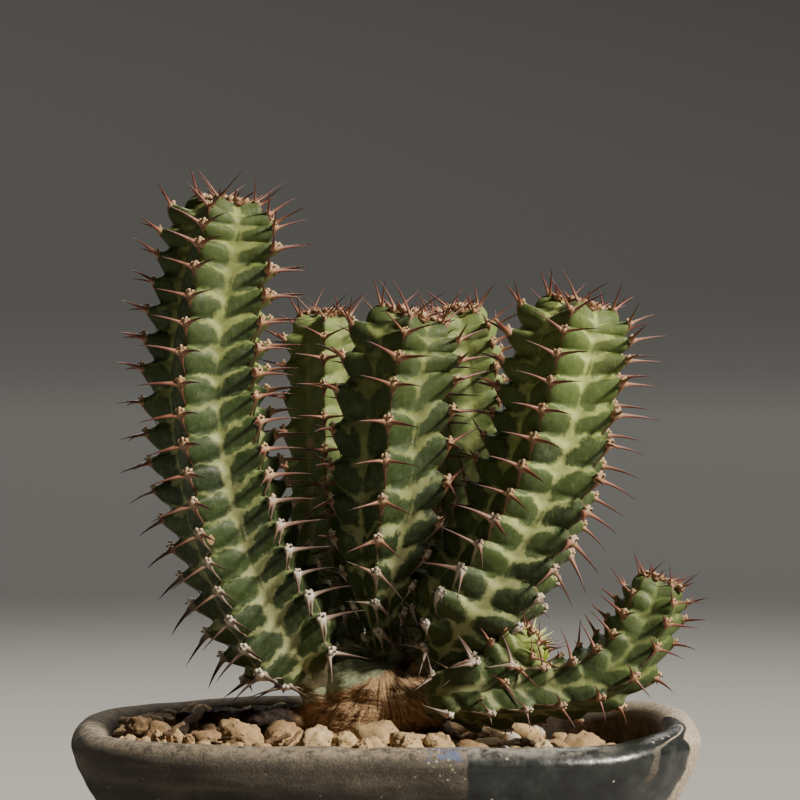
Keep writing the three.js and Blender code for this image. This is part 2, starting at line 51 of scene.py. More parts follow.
# Bowl and soil, as in the source
BOWL_HALF_WIDTH = 66
BOWL_HALF_DEPTH = 49
BOWL_SQUARENESS = 2.8
LIP_RADIUS = 4
LIP_CENTRE_HEIGHT = 42
WALL = 6
FLOOR = 7
FOOT_HEIGHT = 3
FOOT_INSET = 28
FLARE = 1.4
DRAIN_RADIUS = 6
SOIL_BOTTOM = 8.8
SOIL_LEVEL = 43.2
SOIL_DROP = 4.2
SOIL_DROP_FROM = 4
SOIL_DROP_TO = 28

# Rootstock, as in the source
ROOT_CENTRE = (-4.7, 1)
ROOT_BOTTOM, ROOT_TOP = 15, 54.8
ROOT_PROFILE = ((2.6, 17), (6.2, 27), (9.6, 36), (11.6, 42), (12.2, 46), (11.4, 49.5),
                (8.6, 52.5), (4, 54.2))
ROOT_LUMPS = (
    ((-2.8, -3.2, 53.2), (7.6, 7, 5.8)),
    ((0.6, 6, 53.4), (8.6, 7.6, 5.6)),
)
OLD_ROOT = ((-9, -1, 46.4), (-18, -2, 46.8), (-30, -4, 47.2), (-44, -4, 46.8))
OLD_ROOT_RADIUS = (3.3, 1.3)

# Lumps that only the scene has, as centres and half sizes
SCENE_LUMPS = (
    ((-6.8, -3.4, 54.2), (6.4, 6, 5.2)),
    ((0, 8, 57.6), (7, 6, 6.4)),
    ((-9.6, 5, 58.2), (4.6, 4.6, 5)),
    ((3.6, 9, 63.4), (4.6, 4.2, 6)),
)

# Branches, as in the source but for the foot of right, the middle of low_right, and new_shoot:
# axis, radius over the crests and at the foot, length of the shoulder and of the dome, taper,
# teeth on each rib, turn and twist in degrees, and length of a full spine. waist is the middle,
# half length and depth of a narrower stretch, free the share of its length that a spine has
# where the source has none
BRANCHES = {
    "left": dict(
        node="stem_left", seed=3,
        path=((-14.4, -3, 53.4), (-19.6, -5, 62.2), (-26.7, -7, 74.4), (-32.2, -8, 88.9),
              (-35.4, -8, 103.5), (-37, -7, 117), (-35.9, -5, 132.6), (-34.2, -3, 145.1),
              (-32.6, -2, 155.2)),
        radius=14.7, base=4.2, shoulder=13, dome=8, taper=0.08, teeth=20, turn=-35, twist=18,
        spine=8.6),
    "centre": dict(
        node="stem_centre", seed=5,
        path=((0.4, 3, 59.6), (-1.2, -1, 70), (-0.8, -5, 82.4), (0.8, -8, 97.3),
              (1.7, -9, 111.9), (3.5, -9, 123.4), (5.8, -9, 131.8)),
        radius=13.8, base=3.8, shoulder=42, dome=8, taper=0.08, teeth=11, turn=-12, twist=4,
        spine=8.8),
    "right": dict(
        node="stem_right", seed=7,
        path=((9, -2.6, 56), (14.8, -5, 66), (22.4, -7.2, 77.4), (28.6, -8, 88.9),
              (33.7, -8, 101.4), (36.7, -7, 113.9), (38.6, -6, 124.4), (41, -5, 133.6)),
        radius=14.4, base=4.2, shoulder=20, dome=8, taper=0.03, teeth=15, turn=-38, twist=28,
        spine=8.6, waist=(15, 9, -0.08)),
    "back_left": dict(
        node="stem_back_left", seed=11,
        path=((-7, 9, 58.4), (-10.2, 16, 70.1), (-12.3, 22, 86.9), (-13, 25, 106.1),
              (-13.2, 25, 121.2), (-13, 24.5, 131.4)),
        radius=9.8, base=3.6, shoulder=26, dome=7, taper=0.04, teeth=11, turn=4, twist=0,
        spine=8),
    "back_right": dict(
        node="stem_back_right", seed=13,
        path=((6.4, 10, 58.2), (10.2, 17, 70), (15, 22.5, 86.8), (17.2, 25, 106.1),
              (16.2, 24.5, 121.2), (14.8, 23, 132.2)),
        radius=10.2, base=3.6, shoulder=26, dome=7, taper=0.04, teeth=11, turn=-28, twist=0,
        spine=8),
    "low_right": dict(
        node="stem_low_right", seed=17,
        path=((9.6, -8.6, 51.4), (17.4, -13, 53.6), (29.9, -14.5, 54), (41.3, -14.5, 55.6),
              (49.4, -13.5, 60.8), (53.8, -12.5, 68.2), (57, -11.5, 76.8)),
        radius=9.6, base=5.2, shoulder=10, dome=6, taper=0.22, teeth=10, turn=20, twist=0,
        spine=6.6, waist=(26, 8, 0.2)),
    "new_shoot": dict(
        node="stem_low_right", seed=19,
        path=((15.6, -11, 51), (21.4, -12.4, 56.2), (26.8, -13.2, 60.8), (31.2, -13.6, 65.2)),
        radius=8, base=6.5, shoulder=8, dome=6, taper=0.1, teeth=5, turn=16, twist=0,
        spine=6.4, free=1.0, leaves=7),
}
RIBS = 5
TOOTH_SIZES = (0.84, 1.1)
AXIS_STEPS, CURVE_STEPS = 160, 60
PLAIN_BASE = 2.4
APEX_GAP = 0.4
CROWDING = 0.58
CROWDED_TEETH = 5
RIB_STAGGER = np.array((0, 0.4, -0.2, 0.2, -0.4))
STAGGER_FADE = 8
RIB_RISE = 10
FOOT_RIBBING = 0.25
DOME_POWER = 2.6
SLOPE_STEP = 0.4
SPINE_SPREAD = 52
SPINE_RISE_AT_TIP = 22
SPINE_DROOP_AT_BASE = 24

# The finer skin: places along a tooth and across a rib, and how the flesh swells
TOOTH_PHASES = (0, 0.06, 0.14, 0.24, 0.34, 0.44, 0.54, 0.62, 0.69, 0.76, 0.83, 0.91)
RIB_SHARES = (0, 0.015, 0.04, 0.07, 0.11, 0.16, 0.22, 0.29, 0.36, 0.43,
              0.5, 0.57, 0.64, 0.71, 0.78, 0.84, 0.89, 0.93, 0.96, 0.985)
TOOTH_PEAK = 0.76
CREST_EDGE = math.radians(4.3)
GROOVE = math.radians(36)
CHEVRON = 0.3
SWELLING = 0.027
UNEVENNESS = 0.3


# Numbers

def smooth(t):
    c = np.clip(t, 0, 1)
    return c * c * (3 - 2 * c)


def mixed(a, b, t):
    return a + (b - a) * t


def unit(v):
    v = np.asarray(v, float)
    return v / np.maximum(np.linalg.norm(v, axis=-1, keepdims=True), 1e-9)


def wobble(points, size, seed):
    """Smooth noise from -1 to 1 at each point, with swellings of the given size."""
    shift = Vector((seed * 7.31, seed * 3.17, seed * 5.77))
    return np.array([noise.noise(Vector(p) / size + shift) for p in points])


def rough(points, *layers):
    """Noise in layers, each of a size of its swellings, a seed and an amount."""
    return sum(wobble(points, size, seed) * amount for size, seed, amount in layers)


def tooth_size(branch, tooth, rib):
    """A steady size for each tooth, from its place."""
    value = math.sin(tooth * 12.9898 + rib * 78.233 + branch["seed"] * 37.719) * 43758.5453
    return mixed(*TOOTH_SIZES, value - math.floor(value))


# Branch shapes

def curve_points(path):
    """A centripetal Catmull-Rom curve through the path, with its distance at each point."""
    p = [np.array(q, float) for q in path]
    p = [2 * p[0] - p[1]] + p + [2 * p[-1] - p[-2]]
    found = []
    for p0, p1, p2, p3 in zip(p, p[1:], p[2:], p[3:]):
        d0, d1, d2 = (math.sqrt(np.linalg.norm(b - a)) for a, b in ((p0, p1), (p1, p2), (p2, p3)))
        t1 = ((p1 - p0) / d0 - (p2 - p0) / (d0 + d1) + (p2 - p1) / d1) * d1
        t2 = ((p2 - p1) / d1 - (p3 - p1) / (d1 + d2) + (p3 - p2) / d2) * d1
        for s in np.arange(CURVE_STEPS) / CURVE_STEPS:
            found.append(p1 + t1 * s + (3 * (p2 - p1) - 2 * t1 - t2) * s ** 2
                         + (2 * (p1 - p2) + t1 + t2) * s ** 3)
    found.append(p[-2])
    found = np.array(found)
    distance = np.concatenate(([0], np.cumsum(np.linalg.norm(np.diff(found, axis=0), axis=1))))
    return found, distance


def axis_of(path):
    points, distance = curve_points(path)
    length = distance[-1]
    at = np.linspace(0, length, AXIS_STEPS + 1)
    point = np.stack([np.interp(at, distance, points[:, i]) for i in range(3)], 1)
    tangent = unit(np.gradient(point, axis=0))
    front = np.zeros_like(point)
    facing = np.array((0.0, -1.0, 0.0))
    for i, t in enumerate(tangent):
        facing = unit(facing - facing.dot(t) * t)
        front[i] = facing
    return dict(length=length, point=point, tangent=tangent, front=front,
                side=np.cross(tangent, front))


def station(axis, along):
    place = np.clip(along / axis["length"], 0, 1) * AXIS_STEPS
    index = np.minimum(place.astype(int), AXIS_STEPS - 1)
    part = (place - index)[..., None]
    return [mixed(axis[k][index], axis[k][index + 1], part)
            for k in ("point", "tangent", "front", "side")]


def girth(branch, along):
    axis = branch["axis"]
    body = mixed(branch["base"], branch["radius"], smooth(along / branch["shoulder"]))
    dome = np.clip(1 - (axis["length"] - along) / branch["dome"], 0, 1)
    middle, reach, depth = branch.get("waist", (0, 1, 0))
    body = body * (1 - depth * np.exp(-((along - middle) / reach) ** 2))
    return body * (1 - branch["taper"] * along / axis["length"]) * np.sqrt(1 - dome ** DOME_POWER)


def teeth_of(branch):
    """Where each tooth starts along the axis, and its pitch."""
    from_last = np.arange(branch["teeth"]) - (branch["teeth"] - CROWDED_TEETH)
    crowd = smooth(from_last / (CROWDED_TEETH - 1))
    weights = 1 - CROWDING * crowd
    pitch = (branch["axis"]["length"] - PLAIN_BASE - APEX_GAP) * weights / weights.sum()
    return PLAIN_BASE + np.concatenate(([0], np.cumsum(pitch)[:-1])), pitch


def tooth_rise(phase):
    """0 in the sinus, 1 on the tooth: a long convex lower side and a short upper one."""
    up = 1 - np.clip(1 - phase / TOOTH_PEAK, 0, 1) ** 1.7
    down = 1 - smooth((phase - TOOTH_PEAK) / (1 - TOOTH_PEAK))
    return np.where(phase < TOOTH_PEAK, up, down)


def profile(half, phase, size=1.0):
    """The skin's distance from the axis, in crest radii. half is 0 on a crest, 1 in a groove."""
    away = np.clip(1 - half * 1.2, 0, 1)
    rise = tooth_rise(phase) * mixed(1, size, away)
    slid = (phase + CHEVRON * half) % 1
    crest = 0.8 + 0.205 * rise
    edge = 0.78 + 0.175 * rise
    groove = 0.605 + 0.035 * tooth_rise(slid)
    turn = math.sin(GROOVE - CREST_EDGE)
    a = (math.sin(GROOVE) / edge - math.sin(CREST_EDGE) / groove) / turn
    b = (math.cos(CREST_EDGE) / groove - math.cos(GROOVE) / edge) / turn
    angle = half * GROOVE
    face = 1 / (a * np.cos(angle) + b * np.sin(angle))
    lobe = np.sin(np.pi * np.clip(half * 1.04 - 0.02, 0, 1)) ** 0.8
    swollen = face + SWELLING * lobe * (0.75 - np.abs(2 * slid - 1) ** 3 * 1.3)
    capped = soft_min(swollen, crest, 0.05)
    return -soft_min(-capped, -groove, 0.03)


def soft_min(a, b, k):
    h = np.clip(0.5 + 0.5 * (b - a) / k, 0, 1)
    return mixed(b, a, h) - k * h * (1 - h)


def surface(branch, along, pitch, phase, rib, share, size):
    """Points of the skin, the way it faces there and its other two ways, for arrays."""
    axis = branch["axis"]
    length = axis["length"]
    across = np.clip((share - 0.06) / 0.88, 0, 1)
    stagger = mixed(RIB_STAGGER[rib % RIBS], RIB_STAGGER[(rib + 1) % RIBS], across)
    fade = smooth(along / STAGGER_FADE) * smooth((length - along) / STAGGER_FADE)
    along = np.minimum(along + stagger * pitch * fade, length)
    point, tangent, front, side = station(axis, along)
    angle = np.radians(branch["turn"] + branch["twist"] * along / length)
    angle = (angle + (rib + share) / RIBS * TAU)[..., None]
    outward = front * np.cos(angle) + side * np.sin(angle)
    slope = girth(branch, along - SLOPE_STEP) - girth(branch, along + SLOPE_STEP)
    facing = unit(outward + np.clip(slope, -1, 2)[..., None] * tangent)
    half = 1 - np.abs(2 * share - 1)
    ribbing = np.maximum(smooth((along + 2) / RIB_RISE), FOOT_RIBBING)
    plain = 1 - (1 - profile(half, 0 * phase)) * ribbing
    raised = 1 - (1 - profile(half, phase, size)) * ribbing
    radius = girth(branch, along)
    place = (point + outward * (radius * plain)[..., None]
             + facing * (radius * (raised - plain))[..., None])
    return place, facing, tangent, outward, along


# Meshes

class Shape:
    """Collects a piece's vertices and faces, and values on either, in millimetres."""

    def __init__(self):
        self.points, self.faces, self.values, self.face_values = [], [], {}, {}
        self.count = 0

    def add(self, points, faces, face_values=None, **values):
        points = np.asarray(points, float)
        self.points.append(points)
        self.faces.extend([tuple(i + self.count for i in face) for face in faces])
        for kept, given, count in ((self.values, values, len(points)),
                                   (self.face_values, face_values or {}, len(faces))):
            for key, value in given.items():
                filled = np.broadcast_to(np.asarray(value, float), (count,))
                kept.setdefault(key, []).append(filled)
        self.count += len(points)

    def piece(self, name, material, slot, nodes=()):
        mesh = bpy.data.meshes.new(name)
        mesh.from_pydata((np.concatenate(self.points) * MM).tolist(), [], self.faces)
        for kind, values in (("POINT", self.values), ("FACE", self.face_values)):
            for key, parts in values.items():
                put_values(mesh, key, np.concatenate(parts), kind)
        return finished(placed(name, mesh), material, nodes)


def put_values(mesh, key, values, kind="POINT"):
    layer = mesh.attributes.new(key, "FLOAT", kind)
    layer.data.foreach_set("value", values.astype(np.float32))


def placed(name, data):
    """A new object in the scene."""
    made = bpy.data.objects.new(name, data)
    bpy.context.scene.collection.objects.link(made)
    return made


def finished(piece, material, nodes=()):
    piece.data.materials.clear()
    piece.data.materials.append(material)
    piece.data.shade_smooth()
    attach(piece, "root")
    if nodes:
        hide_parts(*nodes)
    return piece


def grid_faces(rows, columns):
    """Quads between rings of points, which climb and run counter-clockwise from above."""
    r, c = np.meshgrid(np.arange(rows - 1), np.arange(columns), indexing="ij")
    n = (c + 1) % columns
    quads = np.stack((r * columns + c, r * columns + n, (r + 1) * columns + n,
                      (r + 1) * columns + c), -1)
    return quads.reshape(-1, 4).tolist()


def ring_shape(rings, start=None, end=None):
    """Points and faces of a closed skin of rings, drawn to a point at each end."""
    rows, columns = len(rings), len(rings[0])
    points = np.concatenate([np.asarray(r, float) for r in rings])
    faces = grid_faces(rows, columns)
    start = points[:columns].mean(0) if start is None else start
    end = points[-columns:].mean(0) if end is None else end
    points = np.concatenate((points, [start, end]))
    first, last = rows * columns, rows * columns + 1
    for c in range(columns):
        n = (c + 1) % columns
        faces.append((first, n, c))
        faces.append(((rows - 1) * columns + c, (rows - 1) * columns + n, last))
    return points, faces


def circle(radius, height, segments, centre=(0, 0)):
    """A ring of points that runs counter-clockwise from above."""
    angles = np.arange(segments) / segments * TAU
    return np.stack((centre[0] + radius * np.cos(angles), centre[1] + radius * np.sin(angles),
                     np.full(segments, float(height))), 1)


def tube(path, radii, sides, flat=1.0, facing=(0.31, -0.72, 0.62)):
    """Points and faces of a tube along a path. flat squashes it along the way it faces."""
    path, radii = np.asarray(path, float), np.asarray(radii, float)
    tangent = unit(np.gradient(path, axis=0))
    normal = np.asarray(facing, float)
    angles = (np.arange(sides) / sides * TAU)[:, None]
    rings = []
    for point, along, radius in zip(path, tangent, radii):
        normal = unit(normal - normal.dot(along) * along)
        across = np.cross(along, normal)
        rings.append(point + radius * (np.cos(angles) * normal * flat + np.sin(angles) * across))
    return ring_shape(rings, path[0], path[-1])


def ball(level):
    """Points and faces of a unit ball."""
    mesh = bmesh.new()
    bmesh.ops.create_icosphere(mesh, subdivisions=level, radius=1)
    points = np.array([v.co for v in mesh.verts])
    faces = [tuple(v.index for v in f.verts) for f in mesh.faces]
    mesh.free()
    return points, faces


# Materials

class Signal:
    """A value that varies over a surface, with the sums that a material's nodes do on it."""

    def __init__(self, look, socket):
        self.look, self.socket = look, socket

    def __rsub__(self, other):
        return self.look.math("SUBTRACT", other, self)

    def step(self, low, high, to_low=0.0, to_high=1.0):
        """to_low below low, to_high above high, and a smooth change between."""
        if low > high:
            low, high, to_low, to_high = high, low, to_high, to_low
        return self.look.node("MapRange", (self, low, high, to_low, to_high),
                              interpolation_type="SMOOTHSTEP")


def operator(operation):
    return lambda signal, *others: signal.look.math(operation, signal, *others)


for name, operation in (("add", "ADD"), ("sub", "SUBTRACT"), ("mul", "MULTIPLY"),
                        ("truediv", "DIVIDE"), ("pow", "POWER"), ("abs", "ABSOLUTE")):
    setattr(Signal, f"__{name}__", operator(operation))


class Look:
    """Builds a material from nodes, with places in millimetres."""

    def __init__(self, name, roughness=0.6):
        self.material = bpy.data.materials.new(name)
        self.material.use_nodes = True
        self.tree = self.material.node_tree
        self.tree.nodes.clear()
        shader = self.node("BsdfPrincipled", {"Roughness": roughness})
        self.inputs = shader.socket.node.inputs
        self.node("OutputMaterial", (shader,), None)
        place = self.node("TexCoord", (), "Object")
        self.place = self.vector("SCALE", {0: place, "Scale": 1 / MM})
        split = self.node("SeparateXYZ", (self.place,)).socket.node
        self.x, self.y, self.z = (Signal(self, socket) for socket in split.outputs)

    def node(self, kind, inputs, output=0, **settings):
        """Makes a node, with inputs by place or by name, and gives one of its outputs."""
        node = self.tree.nodes.new("ShaderNode" + kind)
        for key, value in settings.items():
            setattr(node, key, value)
        for key, value in inputs.items() if isinstance(inputs, dict) else enumerate(inputs):
            self.put(node.inputs[key], value)
        return None if output is None else Signal(self, node.outputs[output])

    def put(self, socket, value):
        if isinstance(value, Signal):
            self.tree.links.new(value.socket, socket)
        else:
            socket.default_value = (*value, 1) if socket.type == "RGBA" else value

    def constants(self, **values):
        for key, value in values.items():
            self.put(self.inputs[key.replace("_", " ")], value)

    def math(self, operation, *values):
        return self.node("Math", values, operation=operation)

    def vector(self, operation, inputs, output=0):
        return self.node("VectorMath", inputs, output, operation=operation)

    def value(self, name):
        return self.node("Attribute", (), "Fac", attribute_name=name)

    def noise(self, size, detail=3.0, roughness=0.55, place=None, stretch=None, shift=0.0):
        """Noise with swellings of a size in millimetres, about 0.5 on the middle."""
        place = place or self.place
        if shift:
            place = self.vector("ADD", (place, (shift, shift * 0.7, -shift)))
        if stretch:
            place = self.vector("MULTIPLY", (place, stretch))
        return self.node("TexNoise", {"Vector": place, "Scale": 1 / size, "Detail": detail,
                                      "Roughness": roughness}, "Fac")

    def cells(self, size, place=None, output="Distance"):
        return self.node("TexVoronoi", {"Vector": place or self.place, "Scale": 1 / size}, output)

    def spot(self, centre, sizes, size):
        """1 inside an uneven spot with the given half sizes, 0 outside."""
        away = self.vector("DIVIDE", (self.vector("SUBTRACT", (self.place, centre)), sizes))
        far = self.vector("LENGTH", (away,), "Value")
        return (far + self.noise(size, 3, 0.6)).step(1.6, 1.35)

    def mix(self, factor, a, b):
        return self.node("Mix", {0: factor, 6: a, 7: b}, 2, data_type="RGBA")

    def coats(self, colour, *coats):
        """A colour under coats, each given by where it lies and its own colour."""
        for cover, tone in coats:
            colour = self.mix(cover, colour, tone)
        return colour

    def ramp(self, value, *stops):
        """Colours along a value, each given by its place and its red, green and blue."""
        made = self.node("ValToRGB", (value,))
        elements = made.socket.node.color_ramp.elements
        while len(elements) < len(stops):
            elements.new(0.5)
        for element, (position, *tone) in zip(elements, stops):
            element.position = position
            element.color = (*tone, 1)
        return made

    def finish(self, colour, roughness=None, *bumps):
        """Sets colour and roughness, and bumps of a height, a distance and a strength."""
        self.put(self.inputs["Base Color"], colour)
        if roughness is not None:
            self.put(self.inputs["Roughness"], roughness)
        under = None
        for height, distance, strength in bumps:
            given = {"Height": height, "Distance": distance * MM, "Strength": strength}
            if under:
                given["Normal"] = under
            under = self.node("Bump", given)
            self.put(self.inputs["Normal"], under)
        return self.material


AGED_PALE = (0.29, 0.295, 0.15)
PATCH_SQUARENESS = 2.9


def skin_look(name, mark, pale, fresh, deep, contrast, young=0.0):
    """Green skin with a thin pale net round a darker patch on each side of each tooth."""
    look = Look(name)
    half, tooth, age, lobe = (look.value(key) for key in ("half", "tooth", "age", "lobe"))
    drift = look.noise(3.4, 4, 0.62) - 0.5
    along = tooth + half * 0.36 + (look.noise(4.2, 4, 0.6, shift=31) - 0.5) * 0.8
    cell = look.math("FLOOR", along)
    luck = look.node("TexWhiteNoise", {"Vector": look.node("CombineXYZ", (lobe, cell))}, "Value",
                     noise_dimensions="3D")
    across = look.math("MAXIMUM", half + drift * 0.75, 0) / luck.step(0, 1, 0.9, 1.1)
    length = look.noise(6, 2, shift=9).step(0.3, 0.7, 0.43, 0.54)
    lengthwise = abs(along - cell - 0.5) / length
    reached = (across ** PATCH_SQUARENESS + lengthwise ** PATCH_SQUARENESS) ** (1 / PATCH_SQUARENESS)
    fading = (age + drift * 0.5).step(0.0, 0.4, 0.82, 1.0)
    patch = reached.step(1.06, 0.84) * fading * contrast
    deep_green = look.coats(
        deep, (look.noise(1.5, 4, 0.65).step(0.3, 0.72), [1.9 * c + 0.008 for c in deep]),
        (luck.step(0, 1, 0.0, 0.35), fresh), (age.step(0.45, 0.05, 0, 0.3), fresh))
    pale_green = look.coats(
        pale, (look.noise(3, 3, shift=57).step(0.35, 0.7), [0.72 * c for c in pale]),
        (age.step(0.25, 0.75, 0, 0.6), AGED_PALE), (half.step(0.5, 0.1, 0, 0.5), fresh))
    streaks = look.noise(0.8, 3, 0.6, stretch=(1, 1, 0.25), shift=80).step(0.55, 0.8, 0, 0.2)
    horny = half.step(0.07, 0.0) * look.noise(1.2, 3).step(0.3, 0.62)
    corky = age.step(0.93, 1.0) * look.noise(2.0, 3, shift=5).step(0.3, 0.6)
    colour = look.coats(
        pale_green, (patch, deep_green), (streaks, [min(1, 1.2 * c + 0.02) for c in pale]),
        (look.cells(0.34).step(0.16, 0.05, 0, 0.22), (0.34, 0.38, 0.26)),
        (horny * age.step(0.05, 0.5, 0.2, 0.6), (0.16, 0.075, 0.035)),
        (look.noise(5, 5, 0.7, shift=120).step(0.5, 0.75, 0, 0.2), (0.25, 0.3, 0.2)),
        (corky * (1 - young), (0.26, 0.21, 0.13)))
    if young:
        sprout = (age + drift * 0.7).step(0.3, 0.0, 0, 0.6)
        colour = look.mix(sprout, colour, (0.3, 0.38, 0.07))
    if mark:
        colour = look.mix(look.spot(*mark[:3]), colour, mark[3])
    look.constants(Specular_IOR_Level=0.3, Subsurface_Weight=0.08,
                   Subsurface_Radius=(0.5, 1.0, 0.25), Subsurface_Scale=1.2 * MM)
    return look.finish(colour, look.noise(2.4, 3, shift=44).step(0.3, 0.7, 0.5, 0.75),
                       (look.noise(0.24, 3, 0.6), 0.06, 0.7),
                       (look.noise(1.8, 4, 0.55, shift=14), 0.5, 0.4))


def spine_look(name):
    """Spines red-brown when young and grey when old, on shields from tan to whitish grey."""
    look = Look(name, 0.45)
    reach, age, part = (look.value(key) for key in ("reach", "age", "part"))
    old = (age + (look.noise(3.2, 2) - 0.5) * 0.5).step(0.42, 0.85)
    young_spine = look.ramp(reach, (0.0, 0.45, 0.3, 0.18), (0.14, 0.3, 0.125, 0.07),
                            (0.42, 0.15, 0.043, 0.03), (0.8, 0.08, 0.022, 0.016),
                            (1.0, 0.03, 0.012, 0.01))
    old_spine = look.ramp(reach, (0.0, 0.46, 0.38, 0.29), (0.2, 0.27, 0.2, 0.15),
                          (0.45, 0.1, 0.063, 0.046), (1.0, 0.016, 0.012, 0.01))
    young_shield = look.ramp(reach, (0.0, 0.09, 0.035, 0.02), (0.5, 0.2, 0.09, 0.045),
                             (0.7, 0.42, 0.25, 0.12), (1.0, 0.62, 0.45, 0.26))
    old_shield = look.ramp(reach, (0.0, 0.3, 0.24, 0.17), (0.4, 0.42, 0.36, 0.28),
                           (0.75, 0.62, 0.55, 0.46), (1.0, 0.68, 0.59, 0.46))
    mottle = look.noise(0.5, 3, 0.6)
    colour = look.coats(
        look.mix(old, young_shield, old_shield),
        (part.step(0.4, 0.6), look.mix(old, young_spine, old_spine)),
        (part.step(1.5, 1.6), (0.035, 0.018, 0.012)),
        (mottle.step(0.45, 0.8, 0, 0.35), (0.13, 0.07, 0.045)),
        (part.step(2.5, 2.6), (0.62, 0.66, 0.26)))
    return look.finish(colour, mottle.step(0.3, 0.7, 0.36, 0.62),
                       (look.noise(0.22, 3, 0.6), 0.06, 0.6))


FUR_CROWN = (-0.5, 58.5)  # x and z of the place from which the fibres fan out
FUR_REACH = 10


def bark_look(name):
    """Fine brown fibres that run round the rootstock, under a green callus on its top left."""
    look = Look(name, 0.85)
    right, up = look.x - FUR_CROWN[0], look.z - FUR_CROWN[1]
    away = look.math("SQRT", right * right + up * up)
    round_crown = look.math("ARCTAN2", up, right) * FUR_REACH + look.noise(6, 3) * 3.6
    lie = look.node("CombineXYZ", (away * 0.07, look.y * 0.1, round_crown))
    hair = look.noise(0.3, 4, 0.72, place=lie)
    strand = look.noise(0.8, 3, 0.6, place=lie, shift=11)
    fibre = hair * 0.65 + strand * 0.35
    brown = look.ramp(fibre, (0.36, 0.08, 0.036, 0.014), (0.45, 0.25, 0.14, 0.06),
                      (0.54, 0.45, 0.29, 0.15), (0.66, 0.66, 0.49, 0.29))
    slant = look.z + (look.noise(2.2, 4) - 0.5) * 2.6 + look.x * -0.42
    streak = look.noise(0.45, 5, 0.7, place=lie, shift=40)
    green = look.ramp(streak * 0.5 + look.noise(1.2, 4, 0.7) * 0.5,
                      (0.32, 0.08, 0.1, 0.05), (0.44, 0.22, 0.26, 0.14),
                      (0.55, 0.4, 0.43, 0.26), (0.72, 0.6, 0.6, 0.42))
    # very dark brown where the dark value says: the bark bits and the old root, and painted shade in
    # the hollow between the stem feet
    dark_wood_and_painted_shade = look.ramp(look.noise(0.9, 4, 0.7), (0.3, 0.01, 0.006, 0.004),
                     (0.55, 0.035, 0.02, 0.013), (0.8, 0.1, 0.06, 0.036))
    colour = look.coats(
        brown, (look.noise(5, 3, shift=23).step(0.5, 0.75, 0, 0.35), (0.06, 0.028, 0.015)),
        (slant.step(56.6, 57.7) * look.value("callus"), green), (look.value("dark"), dark_wood_and_painted_shade))
    return look.finish(colour, fibre.step(0.3, 0.7, 0.95, 0.75), (hair, 0.3, 0.9),
                       (strand, 0.6, 0.8), (look.noise(1.1, 4, 0.65), 0.5, 0.5))


def stone_look(name, porous):
    """Dry porous stone, its tone given for each stone."""
    look = Look(name, 0.95)
    tone = look.value("tone") + (look.noise(1.8, 5, 0.65) - 0.5) * 0.62
    pore_size = look.cells(0.9) + look.noise(1.3, 4, 0.65, shift=6) * 1.3
    pores = pore_size.step(0.92, 0.62, 0, porous)
    dust = look.noise(0.25, 3, 0.7, shift=90).step(0.5, 0.75, 0, 0.35)
    colour = look.coats(
        look.ramp(tone, (0.0, 0.022, 0.013, 0.008), (0.22, 0.1, 0.055, 0.025),
                  (0.45, 0.3, 0.18, 0.08), (0.68, 0.52, 0.36, 0.18),
                  (0.88, 0.7, 0.56, 0.35), (1.0, 0.38, 0.37, 0.34)),
        # painted shade: the pores darker, as shade inside the pits; the same mask also sinks them in
        # the bumps
        (pores * 0.8, (0.1, 0.052, 0.02)),
        (look.noise(1.3, 3, shift=70).step(0.55, 0.75, 0, 0.5), (0.34, 0.18, 0.065)),
        (dust, (0.7, 0.56, 0.36)))
    return look.finish(colour, dust.step(0, 0.35, 0.85, 0.98),
                       (look.noise(0.3, 4, 0.75), 0.3, 0.9), (1.0 - pores, 0.5, 0.9))


def ground_look(name):
    """Dark gritty soil between the stones."""
    look = Look(name, 0.95)
    crumbs = look.node("SeparateColor", (look.cells(0.9, output="Color"),))
    colour = look.ramp(crumbs, (0.0, 0.012, 0.007, 0.004), (0.5, 0.045, 0.025, 0.014),
                       (0.8, 0.12, 0.07, 0.038), (1.0, 0.34, 0.24, 0.14))
    colour = look.mix(look.noise(5, 4).step(0.4, 0.7, 0, 0.6), colour, (0.02, 0.012, 0.008))
    return look.finish(colour, look.noise(1, 3).step(0.3, 0.7, 0.85, 1.0),
                       (look.cells(0.9), 0.8, 0.9))


GLAZE_FROM = 16.4  # the glaze starts at this place across the front
GLAZE_END = -25.0  # and ends this deep on the right of the outer wall
GLAZE_OVER_LIP = 32  # and this much deeper over the lip
BARE_LINE = 35.5
BLUE_PATCH = 12.4


